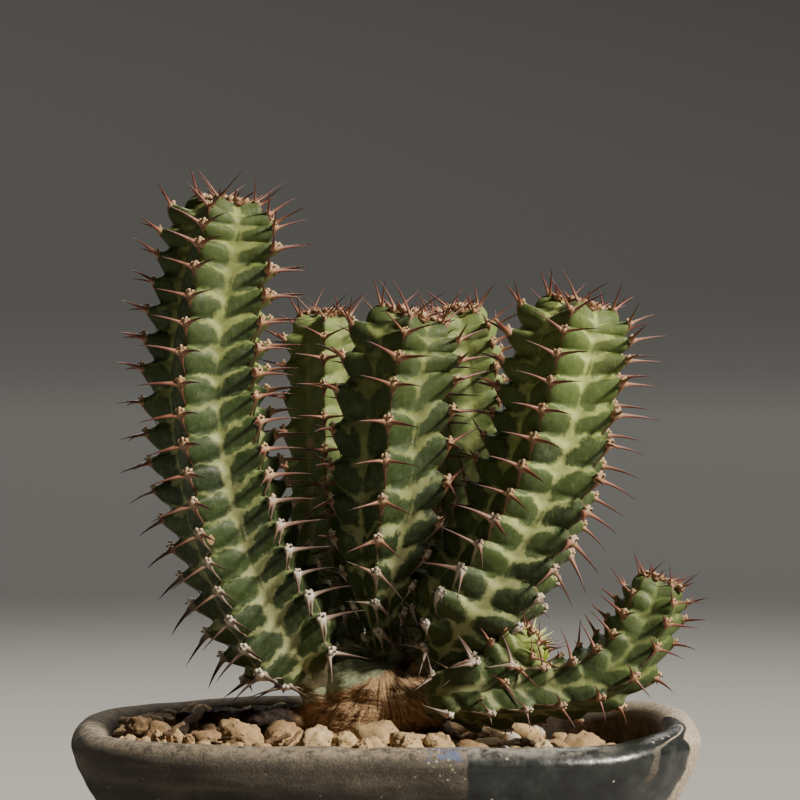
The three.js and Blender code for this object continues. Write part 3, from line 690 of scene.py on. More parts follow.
def clay_colour(look, grit, outer):
    """Grey-brown stoneware, with painted light on the lip top and painted shade on the wall below it,
    and speckled tan behind on the right.
    """
    cloud = look.noise(14, 4, 0.6, stretch=(0.6, 0.6, 1.6))
    # painted shade: under darkens the wall below the lip, down towards the foot
    under = (look.z + (look.noise(9, 3) - 0.5) * 8).step(39.5, 34.5, 0, 0.82)
    bands = look.noise(2.4, 3, 0.6, stretch=(0.08, 0.08, 1.0), shift=15).step(0.5, 0.75, 0, 0.3)
    # painted light: the lip top lighter in patches, as where light falls on it from above
    painted_lit_lip = look.z.step(43, 45.6) * look.noise(2.2, 5, 0.7).step(0.36, 0.62)
    shifted = look.vector("ADD", (look.place, (9, 4, 2)))
    tan = look.coats(
        look.ramp(look.noise(0.5, 4, 0.75, shift=33), (0.32, 0.2, 0.15, 0.095),
                  (0.5, 0.46, 0.38, 0.28), (0.7, 0.62, 0.54, 0.43)),
        (look.noise(1.2, 4, 0.75, shift=51).step(0.5, 0.6, 0, 0.7), (0.2, 0.13, 0.075)),
        (look.cells(0.8).step(0.3, 0.2, 0, 0.8), (0.07, 0.055, 0.04)))
    inner = look.mix(look.noise(3, 4).step(0.35, 0.7), (0.05, 0.036, 0.026), (0.12, 0.09, 0.066))
    return look.coats(
        look.ramp(grit * 0.5 + cloud * 0.5, (0.3, 0.024, 0.019, 0.014), (0.46, 0.06, 0.049, 0.036),
                  (0.56, 0.115, 0.096, 0.07), (0.75, 0.21, 0.178, 0.13)),
        (under, (0.022, 0.017, 0.013)), (bands, (0.2, 0.17, 0.125)),
        (painted_lit_lip * 0.75, (0.36, 0.29, 0.2)),
        (look.cells(3.4).step(0.09, 0.05, 0, 0.6), (0.3, 0.25, 0.18)),
        (look.cells(1.3, place=shifted).step(0.14, 0.06, 0, 0.6), (0.02, 0.014, 0.01)),
        (look.x.step(40, 52) * look.y.step(-34, -27) * outer, tan),
        (look.y.step(5, 30) * 0.55, (0.17, 0.145, 0.105)), (1.0 - outer, inner))


def glaze_area(look, outer):
    """1 where the glaze lies, which leaves a thin bare line on the right."""
    roll = look.value("roll")
    edge = (look.noise(3.2, 3, shift=3) - 0.5) * 2.6
    left_edge = (look.x + edge * 0.5).step(GLAZE_FROM - 0.35, GLAZE_FROM + 0.35)
    over = roll.step(0.2, 0.75, 0, GLAZE_OVER_LIP)
    right_edge = (look.y - over + edge).step(GLAZE_END + 0.6, GLAZE_END - 0.6)
    off_line = abs(look.y - roll.step(0.1, 0.6, 0, 24) + edge + BARE_LINE)
    thin_line = off_line.step(1.2, 0.4) * look.z.step(36.2, 38.4) * look.x.step(36, 42)
    glazed = left_edge * right_edge * look.math("MAXIMUM", outer, 0)
    return glazed * (1.0 - thin_line * 0.9)


def pot_look(name):
    """Bare stoneware to the left, glossy black glaze on the right of the front."""
    look = Look(name, 0.8)
    grit, outer = look.noise(0.55, 4, 0.7), look.value("outer")
    glazed = glaze_area(look, outer)
    bare = 1.0 - glazed
    # dust and painted highlight: the glaze on the lip top paler and mottled, left of the right end
    dust_and_painted_highlight = look.z.step(43.2, 45.4) * look.noise(3.4, 5, 0.7).step(0.34, 0.6) * look.x.step(50, 40)
    glaze = look.coats(
        look.ramp(look.noise(5, 4, 0.6, shift=62), (0.3, 0.008, 0.009, 0.009),
                  (0.55, 0.02, 0.023, 0.022), (0.8, 0.05, 0.055, 0.052)),
        (dust_and_painted_highlight * 0.7, (0.4, 0.37, 0.32)),
        (look.cells(4.2).step(0.1, 0.05, 0, 0.9), (0.42, 0.37, 0.28)))
    from_patch, front = abs(look.x - BLUE_PATCH), look.y.step(-38, -44)
    blue = (from_patch.step(5.2, 2.0) * look.z.step(42.8, 44.4) * front
            * look.noise(1.5, 3, shift=8).step(0.42, 0.56) * bare)
    cream = (look.cells(1.3).step(0.3, 0.12) * from_patch.step(8, 5)
             * (look.z.step(38.5, 40) * front) * bare)
    colour = look.coats(clay_colour(look, grit, outer), (glazed, glaze),
                        (blue * 0.85, (0.12, 0.15, 0.26)), (cream * 0.75, (0.46, 0.38, 0.25)))
    shine = look.math("MAXIMUM", look.noise(2.6, 3, shift=27).step(0.3, 0.7, 0.26, 0.4)
                      + dust_and_painted_highlight * 0.12, blue * 0.3)
    look.constants(Specular_IOR_Level=0.55)
    return look.finish(colour, glazed * shine + bare * grit.step(0.3, 0.7, 0.78, 0.95),
                       (look.noise(0.45, 4, 0.7) * (1.0 - glazed * 0.93), 0.3, 0.6),
                       (look.noise(4.5, 3, shift=18) + glazed * 0.35, 0.5, 0.5))


def plastic_look(name):
    look = Look(name, 0.7)
    colour = look.mix(look.noise(1.5, 3), (0.016, 0.017, 0.016), (0.05, 0.048, 0.042))
    return look.finish(colour, look.noise(2, 2).step(0.3, 0.7, 0.55, 0.8),
                       (look.noise(0.3, 2), 0.05, 0.4))


def floor_look(name):
    """A pale floor that turns to grey where it rises far behind."""
    look = Look(name, 0.9)
    far = look.vector("LENGTH", (look.place,), "Value")
    pale = look.mix(look.noise(60, 2), (0.31, 0.308, 0.3), (0.34, 0.337, 0.33))
    return look.finish(look.mix(far.step(240, 850), pale, (0.033, 0.0355, 0.037)))


# Branches

def skin_shape(shape, branch):
    """The skin of one branch as a grid round its ribs and along its teeth."""
    starts, pitches = teeth_of(branch)
    length = branch["axis"]["length"]
    rows = [(share * PLAIN_BASE, pitches[0] * share, 0.0, share - 1) for share in (0, 0.35, 0.7)]
    for i, (start, pitch) in enumerate(zip(starts, pitches)):
        rows += [(start + phase * pitch, pitch, phase, i + phase) for phase in TOOTH_PHASES]
    rows.append((length - APEX_GAP, pitches[-1], 0.0, branch["teeth"]))
    along, pitch, phase, tooth = np.array(rows).T
    columns = RIBS * len(RIB_SHARES)
    rib, share = np.repeat(np.arange(RIBS), len(RIB_SHARES)), np.tile(RIB_SHARES, RIBS)
    across = share > 0.5
    size = np.array([[tooth_size(branch, int(t), int(r)) for r in (rib + across) % RIBS]
                     for t in tooth])
    spread = [np.broadcast_to(v, size.shape)
              for v in (along[:, None], pitch[:, None], phase[:, None], rib, share)]
    place, facing, _, _, reached = surface(branch, *spread, size)
    points = place.reshape(-1, 3)
    swell = rough(points, (5.5, branch["seed"], 1), (2.2, branch["seed"] + 1, 0.5))
    near_tip = np.clip((length - reached.reshape(-1)) / 6, 0.15, 1)
    points = points + facing.reshape(-1, 3) * (UNEVENNESS * swell * near_tip)[:, None]
    points, faces = ring_shape(points.reshape(len(rows), columns, 3))
    half = 1 - np.abs(2 * share - 1)
    side = (2 * rib + across).astype(float)
    shape.add(points, faces,
              half=np.concatenate((np.tile(half, len(rows)), (1, 1))),
              tooth=np.concatenate((np.repeat(tooth, columns), (0, branch["teeth"]))),
              age=np.concatenate((1 - reached.reshape(-1) / length, (1, 0))),
              face_values=dict(lobe=np.concatenate((np.tile(side, len(rows) - 1),
                                                    np.repeat(side, 2)))))


SHORTEST_CAD_SPINE = 1.5
SPINE_MATCH = 3.2  # how far a packed spine's foot may lie from where it is looked for
WRONG_SIDE = 2.5  # counts as this much further off
STUB_SHARE = 0.3  # of its full length, for a spine that the source lacks


def cad_spines(node):
    """(middle of the foot, tip) of every spine of a packed branch: a vertex with three
    neighbours that stands well away from them."""
    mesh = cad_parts[node].data
    index, near, places, welded = {}, [], [], []
    for vertex in mesh.vertices:
        key = tuple(round(c / MM, 3) for c in vertex.co)
        if key not in index:
            index[key] = len(places)
            places.append(np.array(vertex.co) / MM)
            near.append(set())
        welded.append(index[key])
    for edge in mesh.edges:
        a, b = (welded[v] for v in edge.vertices)
        near[a].add(b)
        near[b].add(a)
    found = []
    for i, others in enumerate(near):
        if len(others - {i}) == 3:
            foot = np.mean([places[o] for o in others - {i}], axis=0)
            if np.linalg.norm(places[i] - foot) > SHORTEST_CAD_SPINE:
                found.append((foot, places[i]))
    return found


SPINE_STEPS = np.array((0, 0.06, 0.13, 0.22, 0.36, 0.54, 0.76, 1))
SPINE_RADII = np.array((0.92, 0.7, 0.52, 0.42, 0.34, 0.25, 0.14, 0.02))
SHIELD_PHASES = (-0.05, 0.12, 0.3, 0.46, 0.6, 0.69, 0.75, 0.8, 0.86)
SHIELD_RADII = (0.2, 0.26, 0.3, 0.44, 0.76, 1.06, 1.12, 0.86, 0.25)
SHIELD_ROOT, SHIELD_EYE = 5, 7  # places along the shield of the spines and of the bud


def spine_shape(shape, foot, tip, bow, thickness, age, part=1.0):
    """One spine: stout at its foot, a little bowed, drawn out to a needle."""
    foot, tip = np.asarray(foot, float), np.asarray(tip, float)
    middle = (foot + tip) / 2 + bow
    s = SPINE_STEPS[:, None]
    path = (1 - s) ** 2 * foot + 2 * s * (1 - s) * middle + s ** 2 * tip
    points, faces = tube(path, SPINE_RADII * thickness, 7)
    reach = np.concatenate((np.repeat(SPINE_STEPS, 7), (0, 1)))
    shape.add(points, faces, reach=reach, age=age, part=part)


def knob_shape(shape, centre, facing, up, size, age, rng):
    """The pale eye over a spine pair: small lumps round a dark bud scar."""
    unit_points, unit_faces = BALLS[1]
    across = np.cross(up, facing)
    lumps = [(0, 0, 1, 0.7, 0.0), (-0.7, 0.2, 0.66, 0.9, 0.0), (0.66, 0.25, 0.62, 0.84, 0.0),
             (rng.uniform(-0.3, 0.3), 0.62, 0.6, 1.0, 0.0)]
    lumps.append((rng.uniform(-0.3, 0.3), 0.2, 0.36, 0.0, 2.0) if age > 0
                 else (0, -0.3, 1.3, 0.48, 0.0))
    for side, rise, scale, reach, part in lumps:
        lift = 0.72 if part > 1 else -0.6 if reach < 0.5 else 0.0
        at = centre + (across * side + facing * lift + up * rise) * size
        local = unit_points * [rng.uniform(0.7, 1.15) for _ in range(3)] * size * scale * 0.76
        local[:, 2] *= 0.6 if reach < 0.5 and part < 1 else 1
        local *= (1 + 0.3 * wobble(unit_points, 0.8, rng.random()))[:, None]
        points = at + local[:, :1] * across + local[:, 1:2] * up + local[:, 2:] * facing
        shape.add(points, unit_faces, reach=reach * rng.uniform(0.85, 1), age=age, part=part)


def areole_shape(shape, branch, spines, rib, tooth, start, pitch, rng):
    """A tooth's horny shield with its tail down the crest, its eye and its spine pair."""
    axis = branch["axis"]
    phases = np.array(SHIELD_PHASES)
    place, facing, tangent, outward, along = surface(
        branch, np.maximum(start + phases * pitch, 0), pitch + 0 * phases, phases % 1,
        np.full(len(phases), rib), 0 * phases, tooth_size(branch, tooth, rib))
    age = float(1 - along[SHIELD_ROOT] / axis["length"])
    scale = min(1.0, branch["radius"] / 12) * rng.uniform(0.8, 1.1)
    scale *= float(mixed(0.72, 1.0, smooth(age / 0.15)))
    scale *= min(1.0, 0.55 + pitch / 9)
    radii = np.array(SHIELD_RADII) * scale
    radii[:3] *= mixed(0.45, 1.0, float(smooth(age / 0.6)))
    path = place + facing * (radii * 0.12 - 0.12)[:, None]
    points, faces = tube(path, radii, 8, 0.62, facing[SHIELD_ROOT])
    reach = np.concatenate((np.repeat(np.linspace(0, 1, len(phases)), 8), (0, 1)))
    shape.add(points, faces, reach=reach, age=age, part=0.0)
    root, face, up = place[SHIELD_ROOT], facing[SHIELD_ROOT], unit(tangent[SHIELD_ROOT])
    side_way = unit(np.cross(up, outward[SHIELD_ROOT]))
    eye = facing[SHIELD_EYE]
    knob_shape(shape, place[SHIELD_EYE] + eye * 0.22 * scale, eye, unit(np.cross(eye, side_way)),
               1.1 * scale, age, rng)
    rise = math.radians(mixed(SPINE_RISE_AT_TIP, -SPINE_DROOP_AT_BASE, age ** 0.8))
    for side in (-1, 1):
        expected = root - up * 0.08 * pitch + side_way * side * 0.25 * scale
        found = min(spines, key=lambda s: np.linalg.norm(s[0] - expected)
                    + WRONG_SIDE * (np.dot(s[1] - s[0], side_way) * side < 0), default=None)
        foot = root + side_way * side * 0.42 * scale - face * 0.35
        thickness = scale * rng.uniform(0.85, 1.08)
        gap = np.linalg.norm(found[0] - expected) if found else 99
        if gap < SPINE_MATCH and np.dot(found[1] - found[0], side_way) * side > 0:
            tip = found[1]
        else:
            spread = math.radians(SPINE_SPREAD)
            way = unit(face * math.cos(spread) + side_way * side * math.sin(spread)
                       + up * math.sin(rise))
            tip = foot + way * branch["spine"] * branch.get("free", STUB_SHARE)
        length = np.linalg.norm(tip - foot)
        bow = up * length * rng.uniform(0.02, 0.1) + face * length * 0.05
        spine_shape(shape, foot, tip, bow, thickness * min(1.0, 0.45 + length / 12), age)


CROWN_KNOBS = 12


def crown_shape(shape, branch, rng):
    """The crowded young spines, buds and, on new growth, small leaves round the growing tip."""
    axis = branch["axis"]
    end, up = axis["point"][-1], axis["tangent"][-1]
    front, side = axis["front"][-1], axis["side"][-1]
    scale = branch["radius"] / 14
    for k in range(CROWN_KNOBS):
        angle = k * GOLDEN_ANGLE
        away = (0.6 + 5.9 * math.sqrt(k / CROWN_KNOBS) * rng.uniform(0.8, 1.05)) * scale
        radial = front * math.cos(angle) + side * math.sin(angle)
        drop = (1 - (1 - (away / branch["radius"]) ** 2) ** (1 / DOME_POWER)) * branch["dome"]
        base = end + radial * away - up * (drop - 0.25)
        face = unit(up * 1.1 + radial * (0.2 + 0.11 * away / scale))
        across = unit(np.cross(face, radial))
        size = rng.uniform(0.85, 1.5) * (0.1 + 0.9 * scale)
        knob_shape(shape, base + face * 0.35, face, unit(radial * -1 + up * 0.3), size, 0.0, rng)
        for turn in (-1, 1) if k > CROWN_KNOBS / 3 else (1,):
            length = rng.uniform(2.6, 6) * (0.45 + 0.55 * k / CROWN_KNOBS)
            length *= 0.3 + 0.7 * scale
            way = unit(face + across * turn * rng.uniform(0.3, 0.9) + radial * 0.4)
            foot = base + face * 0.2 + across * turn * 0.5 * size
            spine_shape(shape, foot, foot + way * length, up * 0.1, 0.6 * scale + 0.1, 0.0)
    for k in range(branch.get("leaves", 0)):
        angle = k * 1.3 + 0.4
        radial = front * math.cos(angle) + side * math.sin(angle)
        base = end + radial * (0.8 + 0.4 * k) * scale
        way = unit(up + radial * (0.2 + 0.16 * k)) * rng.uniform(2.2, 3.6)
        spine_shape(shape, base - up * 0.4, base + way, radial * 0.2, 0.95, 0.0, 3.0)


# Rootstock

ROOT_VOXEL = 0.42
NECK_DEPTH = 9


def rootstock(look):
    """The rootstock, its necks and old root, joined by a remesh and then roughened."""
    made = bmesh.new()

    def put(points, faces):
        vertices = [made.verts.new(Vector(p) * MM) for p in points]
        for face in faces:
            made.faces.new([vertices[i] for i in face])

    rings = [circle(r, z, 40, ROOT_CENTRE) for r, z in ROOT_PROFILE]
    put(*ring_shape(rings, (*ROOT_CENTRE, ROOT_BOTTOM), (*ROOT_CENTRE, ROOT_TOP)))
    for centre, size in ROOT_LUMPS + SCENE_LUMPS:
        points, faces = BALLS[3]
        put(points * size + centre, faces)
    for branch in BRANCHES.values():
        if "leaves" in branch:
            continue
        start, tangent = branch["axis"]["point"][0], branch["axis"]["tangent"][0]
        reach = np.linspace(-NECK_DEPTH, 1.2, 8)
        put(*tube([start + tangent * r for r in reach],
                  branch["base"] * mixed(1.3, 0.98, np.linspace(0, 1, 8)), 20))
    path, distance = curve_points(OLD_ROOT)
    radii = mixed(*OLD_ROOT_RADIUS, distance / distance[-1])
    put(*tube(path[::12], radii[::12], 16))
    mesh = bpy.data.meshes.new("rootstock")
    made.to_mesh(mesh)
    made.free()
    piece = placed("rootstock", mesh)
    remesh = piece.modifiers.new("join", "REMESH")
    remesh.mode = "VOXEL"
    remesh.voxel_size = ROOT_VOXEL * MM
    soften = piece.modifiers.new("soften", "SMOOTH")
    soften.factor, soften.iterations = 0.6, 6
    bpy.context.view_layer.update()
    solid = bpy.data.meshes.new_from_object(piece.evaluated_get(
        bpy.context.evaluated_depsgraph_get()))
    piece.modifiers.clear()
    piece.data = solid
    points = np.array([v.co for v in solid.vertices]) / MM
    normals = np.array([v.normal for v in solid.vertices])
    on_root = smooth((-16.5 - points[:, 0]) / 4) * (points[:, 2] < 53)
    right, rise = points[:, 0] - FUR_CROWN[0], points[:, 2] - FUR_CROWN[1]
    lie = np.stack((np.hypot(right, rise) * 0.12, points[:, 1] * 0.14,
                    np.arctan2(rise, right) * FUR_REACH), 1)
    lie[:, 2] += 2.0 * wobble(points, 7, 4)
    fibres = rough(lie, (1.1, 8, 0.34), (0.55, 9, 0.2))
    crust = rough(points, (1.6, 12, 0.55), (0.8, 13, 0.275))
    lumps = wobble(points, 4.5, 6) * 0.55
    points += normals * (lumps + mixed(fibres, crust, on_root))[:, None]
    solid.vertices.foreach_set("co", (points * MM).ravel())
    # dark: the old root darker, and painted shade in the hollow between the stem feet
    painted_shade_hollow = smooth((4.0 - np.hypot(points[:, 0] - 5.5, points[:, 1] - 1.5)) / 3)
    put_values(solid, "dark", np.clip(on_root + painted_shade_hollow * 0.8, 0, 1))
    put_values(solid, "callus", 1 - on_root)
    return finished(piece, look, ["caudex"])


LOOSE_FIBRES = 260


def fibre_shape(shape, tree, rng):
    """Loose fibres that lie round the rootstock."""
    for k in range(LOOSE_FIBRES):
        angle = rng.uniform(-2.9, 0.1) if k % 3 else rng.uniform(0, 6.28)
        height, sweep = rng.uniform(42.5, 53.5), rng.uniform(0.35, 1.0)
        path = []
        for s in np.linspace(0, 1, 9):
            x, y = math.cos(angle + sweep * s), math.sin(angle + sweep * s)
            z = height + (x * 1.6 + 0.5 * math.sin(k + 5 * s))
            origin = Vector((ROOT_CENTRE[0] + 30 * x, ROOT_CENTRE[1] + 30 * y, z)) * MM
            hit, normal, _, _ = tree.ray_cast(origin, Vector((-x, -y, 0)))
            if hit is None or abs(hit.x / MM - ROOT_CENTRE[0]) > 14:
                break
            lift = 0.05 + 0.5 * rng.random() * s ** 2
            path.append(np.array(hit + normal * lift * MM) / MM)
        if len(path) > 4:
            radius = rng.uniform(0.04, 0.11)
            points, faces = tube(path, radius * np.linspace(1, 0.4, len(path)), 4)
            shape.add(points, faces, callus=0.0, dark=0.0)


# Stones

def turned(x, y, angle):
    c, s = math.cos(angle), math.sin(angle)
    return x * c - y * s, x * s + y * c


def stone_shape(shape, centre, size, turn, seed, level, tone):
    """A broken porous stone: a ball cut by many flat faces, roughened."""
    rng = random.Random(seed)
    directions, faces = BALLS[level]
    reach = np.full(len(directions), 1.0)
    for _ in range(13):
        normal = unit([rng.gauss(0, 1) for _ in range(3)])
        depth = rng.uniform(0.6, 0.95)
        facing = directions @ normal
        cut = np.where(facing > 0.05, depth / np.maximum(facing, 0.05), 9)
        reach = soft_min(reach, cut, 0.04)
    points = directions * reach[:, None]
    broken = rough(points, (0.5, seed, 0.24), (0.21, seed + 5, 0.16))
    if level > 2:
        broken -= np.clip(wobble(points, 0.13, seed + 9), 0, 1) * 0.2
    points = points * (1 + broken)[:, None] * np.asarray(size)
    x, y, z = points.T
    x, z = turned(x, z, rng.uniform(-0.4, 0.4))
    shape.add(np.stack((*turned(x, y, turn), z), 1) + centre, faces, tone=tone)


def soil_level(x):
    return SOIL_LEVEL - SOIL_DROP * smooth((x - SOIL_DROP_FROM) / (SOIL_DROP_TO - SOIL_DROP_FROM))


def bed_level(x, y):
    """The height of the bed, which sinks towards the front lip and at the right end."""
    return soil_level(x) - 1.3 * smooth((-26 - y) / 8) - 3.4 * smooth((x - 30) / 11)


def in_oval(x, y, inset):
    return (abs(x / (BOWL_HALF_WIDTH - inset)) ** BOWL_SQUARENESS
            + abs(y / (BOWL_HALF_DEPTH - inset)) ** BOWL_SQUARENESS) < 1


# Stones that the photograph shows over the lip: middle, half sizes, turn and tone
SEEN_STONES = (
    ((-51.4, -8, 45.2), (3.9, 3.4, 2.6), 0.4, 0.3),
    ((-46.6, -24, 44.9), (1.6, 1.8, 2.4), 0.2, 0.62),
    ((-43.4, -22, 44.8), (1.8, 1.8, 2.3), 1.1, 0.6),
    ((-40.4, -26, 44.8), (2.0, 1.9, 2.2), 0.7, 0.58),
    ((-38.4, -6, 44.6), (3.0, 2.8, 2.4), 0.1, 0.34),
    ((-29.8, -23, 44.9), (5.8, 3.8, 4.4), 0.1, 0.54),
    ((-21.8, -27, 43.8), (1.8, 2.0, 2.4), 0.4, 0.6),
    ((-30.4, -34, 43.7), (2.1, 2.0, 2.2), 0.9, 0.6),
    ((-14.4, -32, 44.6), (4.9, 4.0, 4.1), 0.3, 0.72),
    ((-8.2, -33, 44.4), (3.3, 3.0, 3.3), 1.2, 0.68),
    ((-4.6, -34.5, 44.2), (2.5, 2.4, 2.9), 0.1, 0.66),
    ((4.8, -34, 44.0), (3.7, 3.2, 3.2), 0.6, 0.7),
    ((10.8, -33, 44.0), (4.1, 3.4, 3.7), 2.2, 0.64),
    ((25.2, -26, 41.4), (2.3, 2.2, 3.0), 0.4, 0.97),
    ((29.6, -30, 41.0), (3.4, 2.8, 2.7), 0.2, 0.66),
    ((32.6, -22, 41.6), (2.8, 2.4, 3.0), 0.8, 0.8),
    ((37.2, -26, 41.2), (2.9, 2.6, 3.0), 1.6, 0.76),
    ((41.2, -20, 40.8), (2.3, 2.4, 2.6), 0.3, 0.72),
)
FILL_STONES = 190
FILL_TRIES = 9000
GRIT = 900
STONES_FROM_ROOT, GRIT_FROM_ROOT, STICKS_FROM_ROOT = 11.5, 12.5, 15
STONES_FROM_STEMS = 0.4
LARGE_STONE = 2.6


def from_root(x, y):
    return math.hypot(x - ROOT_CENTRE[0], y - ROOT_CENTRE[1])


def clear_of_plant(x, y, z, radius):
    def gap(branch):
        along = np.linspace(0, branch["axis"]["length"], AXIS_STEPS + 1)
        away = np.linalg.norm(branch["axis"]["point"] - (x, y, z), axis=1)
        return (away - girth(branch, along)).min()
    return (from_root(x, y) >= STONES_FROM_ROOT + radius * 0.6
            and all(gap(branch) >= radius + STONES_FROM_STEMS for branch in BRANCHES.values()))


def stones(rng):
    """All stones of the top dressing, the seen ones first and the rest fitted round them."""
    large, small = Shape(), Shape()
    taken = []
    for i, (centre, size, turn, tone) in enumerate(SEEN_STONES):
        stone_shape(large, centre, size, turn, 100 + i, 4, tone)
        taken.append((centre[0], centre[1], max(size[0], size[1])))
    for i in range(FILL_TRIES):
        if len(taken) >= FILL_STONES:
            break
        x, y = rng.uniform(-1, 1) * BOWL_HALF_WIDTH, rng.uniform(-1, 1) * BOWL_HALF_DEPTH
        radius = mixed(1.5, 5.2, (1 - i / FILL_TRIES) ** 4) * rng.uniform(0.85, 1.15)
        near = any(math.hypot(x - a, y - b) < 0.9 * (r + radius) for a, b, r in taken)
        z = bed_level(x, y) + 0.1 * radius + rng.uniform(-0.5, 0.3)
        if (near or not in_oval(x, y, 2 * LIP_RADIUS + 0.85 * radius)
                or not clear_of_plant(x, y, z, radius)):
            continue
        size = [radius * rng.uniform(0.85, 1.15) for _ in range(2)] + [radius * rng.uniform(0.7, 0.9)]
        tone = rng.uniform(0.42, 0.74) if rng.random() < 0.7 else rng.uniform(0.15, 0.4)
        tone = 0.97 if rng.random() < 0.05 else tone
        shape, level = (large, 3) if radius > LARGE_STONE else (small, 2)
        stone_shape(shape, (x, y, z), size, rng.uniform(0, 6.28), 300 + i, level, tone)
        taken.append((x, y, radius))
    return large, small


def grit_shape(rng):
    shape = Shape()
    for i in range(GRIT * 3):
        x, y = rng.uniform(-1, 1) * BOWL_HALF_WIDTH, rng.uniform(-1, 1) * BOWL_HALF_DEPTH
        radius = rng.uniform(0.4, 1.25)
        if not in_oval(x, y, 2 * LIP_RADIUS + radius) or from_root(x, y) < GRIT_FROM_ROOT:
            continue
        z = bed_level(x, y) + rng.uniform(-0.6, 0.9)
        size = [radius * rng.uniform(0.7, 1.2) for _ in range(3)]
        tone = rng.uniform(0.05, 0.3) if rng.random() < 0.5 else rng.uniform(0.35, 0.7)
        stone_shape(shape, (x, y, z), size, rng.uniform(0, 6.28), 5000 + i, 1, tone)
        if shape.count > GRIT * len(BALLS[1][0]):
            break
    return shape


# Sticks and bits of bark: both ends and thickness
SEEN_STICKS = (
    ((-43.6, -11, 44.6), (-37.6, -9, 49.4), 1.25),
    ((-45.6, -26, 46.2), (-41.4, -25, 48.2), 0.5),
    ((-24.6, -30, 45.2), (-19.6, -29, 46.6), 0.55),
    ((-20.4, -31, 44.6), (-17.4, -28, 47.2), 0.4),
    ((-34.4, -28, 45.4), (-31.0, -31, 46.2), 0.4),
)
LOOSE_STICKS = 46


def stick_shape(rng):
    """Bits of bark and old roots that lie on the bed."""
    shape = Shape()
    sticks = list(SEEN_STICKS)
    while len(sticks) < LOOSE_STICKS:
        x, y = rng.uniform(-54, 52), rng.uniform(-37, 37)
        if from_root(x, y) < STICKS_FROM_ROOT or not in_oval(x, y, 11):
            continue
        turn, reach = rng.uniform(0, math.pi), rng.uniform(1, 3)
        across = np.array((math.cos(turn), math.sin(turn), rng.uniform(-0.25, 0.25))) * reach
        centre = np.array((x, y, bed_level(x, y) + rng.uniform(0.8, 1.9)))
        sticks.append((centre - across, centre + across, rng.uniform(0.18, 0.5)))
    for start, end, thickness in sticks:
        s = np.linspace(0, 1, 9)[:, None]
        path = mixed(np.array(start), np.array(end), s)
        path = path + np.stack([wobble(path, 1.6, 40 + k) for k in range(3)], 1) * thickness * 0.9
        radii = thickness * (0.75 + 0.25 * np.sin(np.linspace(0.5, 2.9, 9)))
        points, faces = tube(path, radii * (1 + 0.2 * wobble(path, 0.8, 44)), 9, 0.6)
        shape.add(points, faces, callus=0.0, dark=rng.uniform(0.35, 1.0))
    return shape


def even_ring(half_width, half_depth, height, segments):
    """A squarish oval ring with its points evenly spaced along it."""
    fine = circle(1, height, 720)
    oval = np.sign(fine[:, :2]) * np.abs(fine[:, :2]) ** (2 / BOWL_SQUARENESS)
    fine[:, :2] = oval * (half_width, half_depth)
    closed = np.concatenate((fine, fine[:1]))
    distance = np.concatenate(([0], np.cumsum(np.linalg.norm(np.diff(closed, axis=0), axis=1))))
    at = np.arange(segments) / segments * distance[-1]
    return np.stack([np.interp(at, distance, closed[:, i]) for i in range(3)], 1)


def outer_inset(height):
    down = (LIP_CENTRE_HEIGHT - height) / (LIP_CENTRE_HEIGHT - FOOT_HEIGHT)
    return FOOT_INSET * max(0, down) ** FLARE


def inner_inset(height):
    near_lip = height > LIP_CENTRE_HEIGHT - 8
    return outer_inset(height) + max(WALL, 2 * LIP_RADIUS - outer_inset(height) if near_lip else 0)


def ground(look):
    segments, depth = 150, 16
    rings = [even_ring(BOWL_HALF_WIDTH - inner_inset(h) - 0.2,
                       BOWL_HALF_DEPTH - inner_inset(h) - 0.2, h, segments)
             for h in np.linspace(SOIL_BOTTOM, 38, 7)]
    rim = 2 * LIP_RADIUS + 0.2
    for k in range(depth):
        share = 1 - k / depth
        ring = even_ring((BOWL_HALF_WIDTH - rim) * share, (BOWL_HALF_DEPTH - rim) * share, 0, segments)
        crumbs = rough(ring, (1.6, 21, 0.6), (5, 22, 0.5))
        ring[:, 2] = bed_level(ring[:, 0], ring[:, 1]) - 0.7 + crumbs
        rings.append(ring)
    shape = Shape()
    shape.add(*ring_shape(rings, (0, 0, SOIL_BOTTOM), (0, 0, soil_level(0) - 1)))
    return shape.piece("ground", look, "pumice_soil", ["soil"])


# Bowl

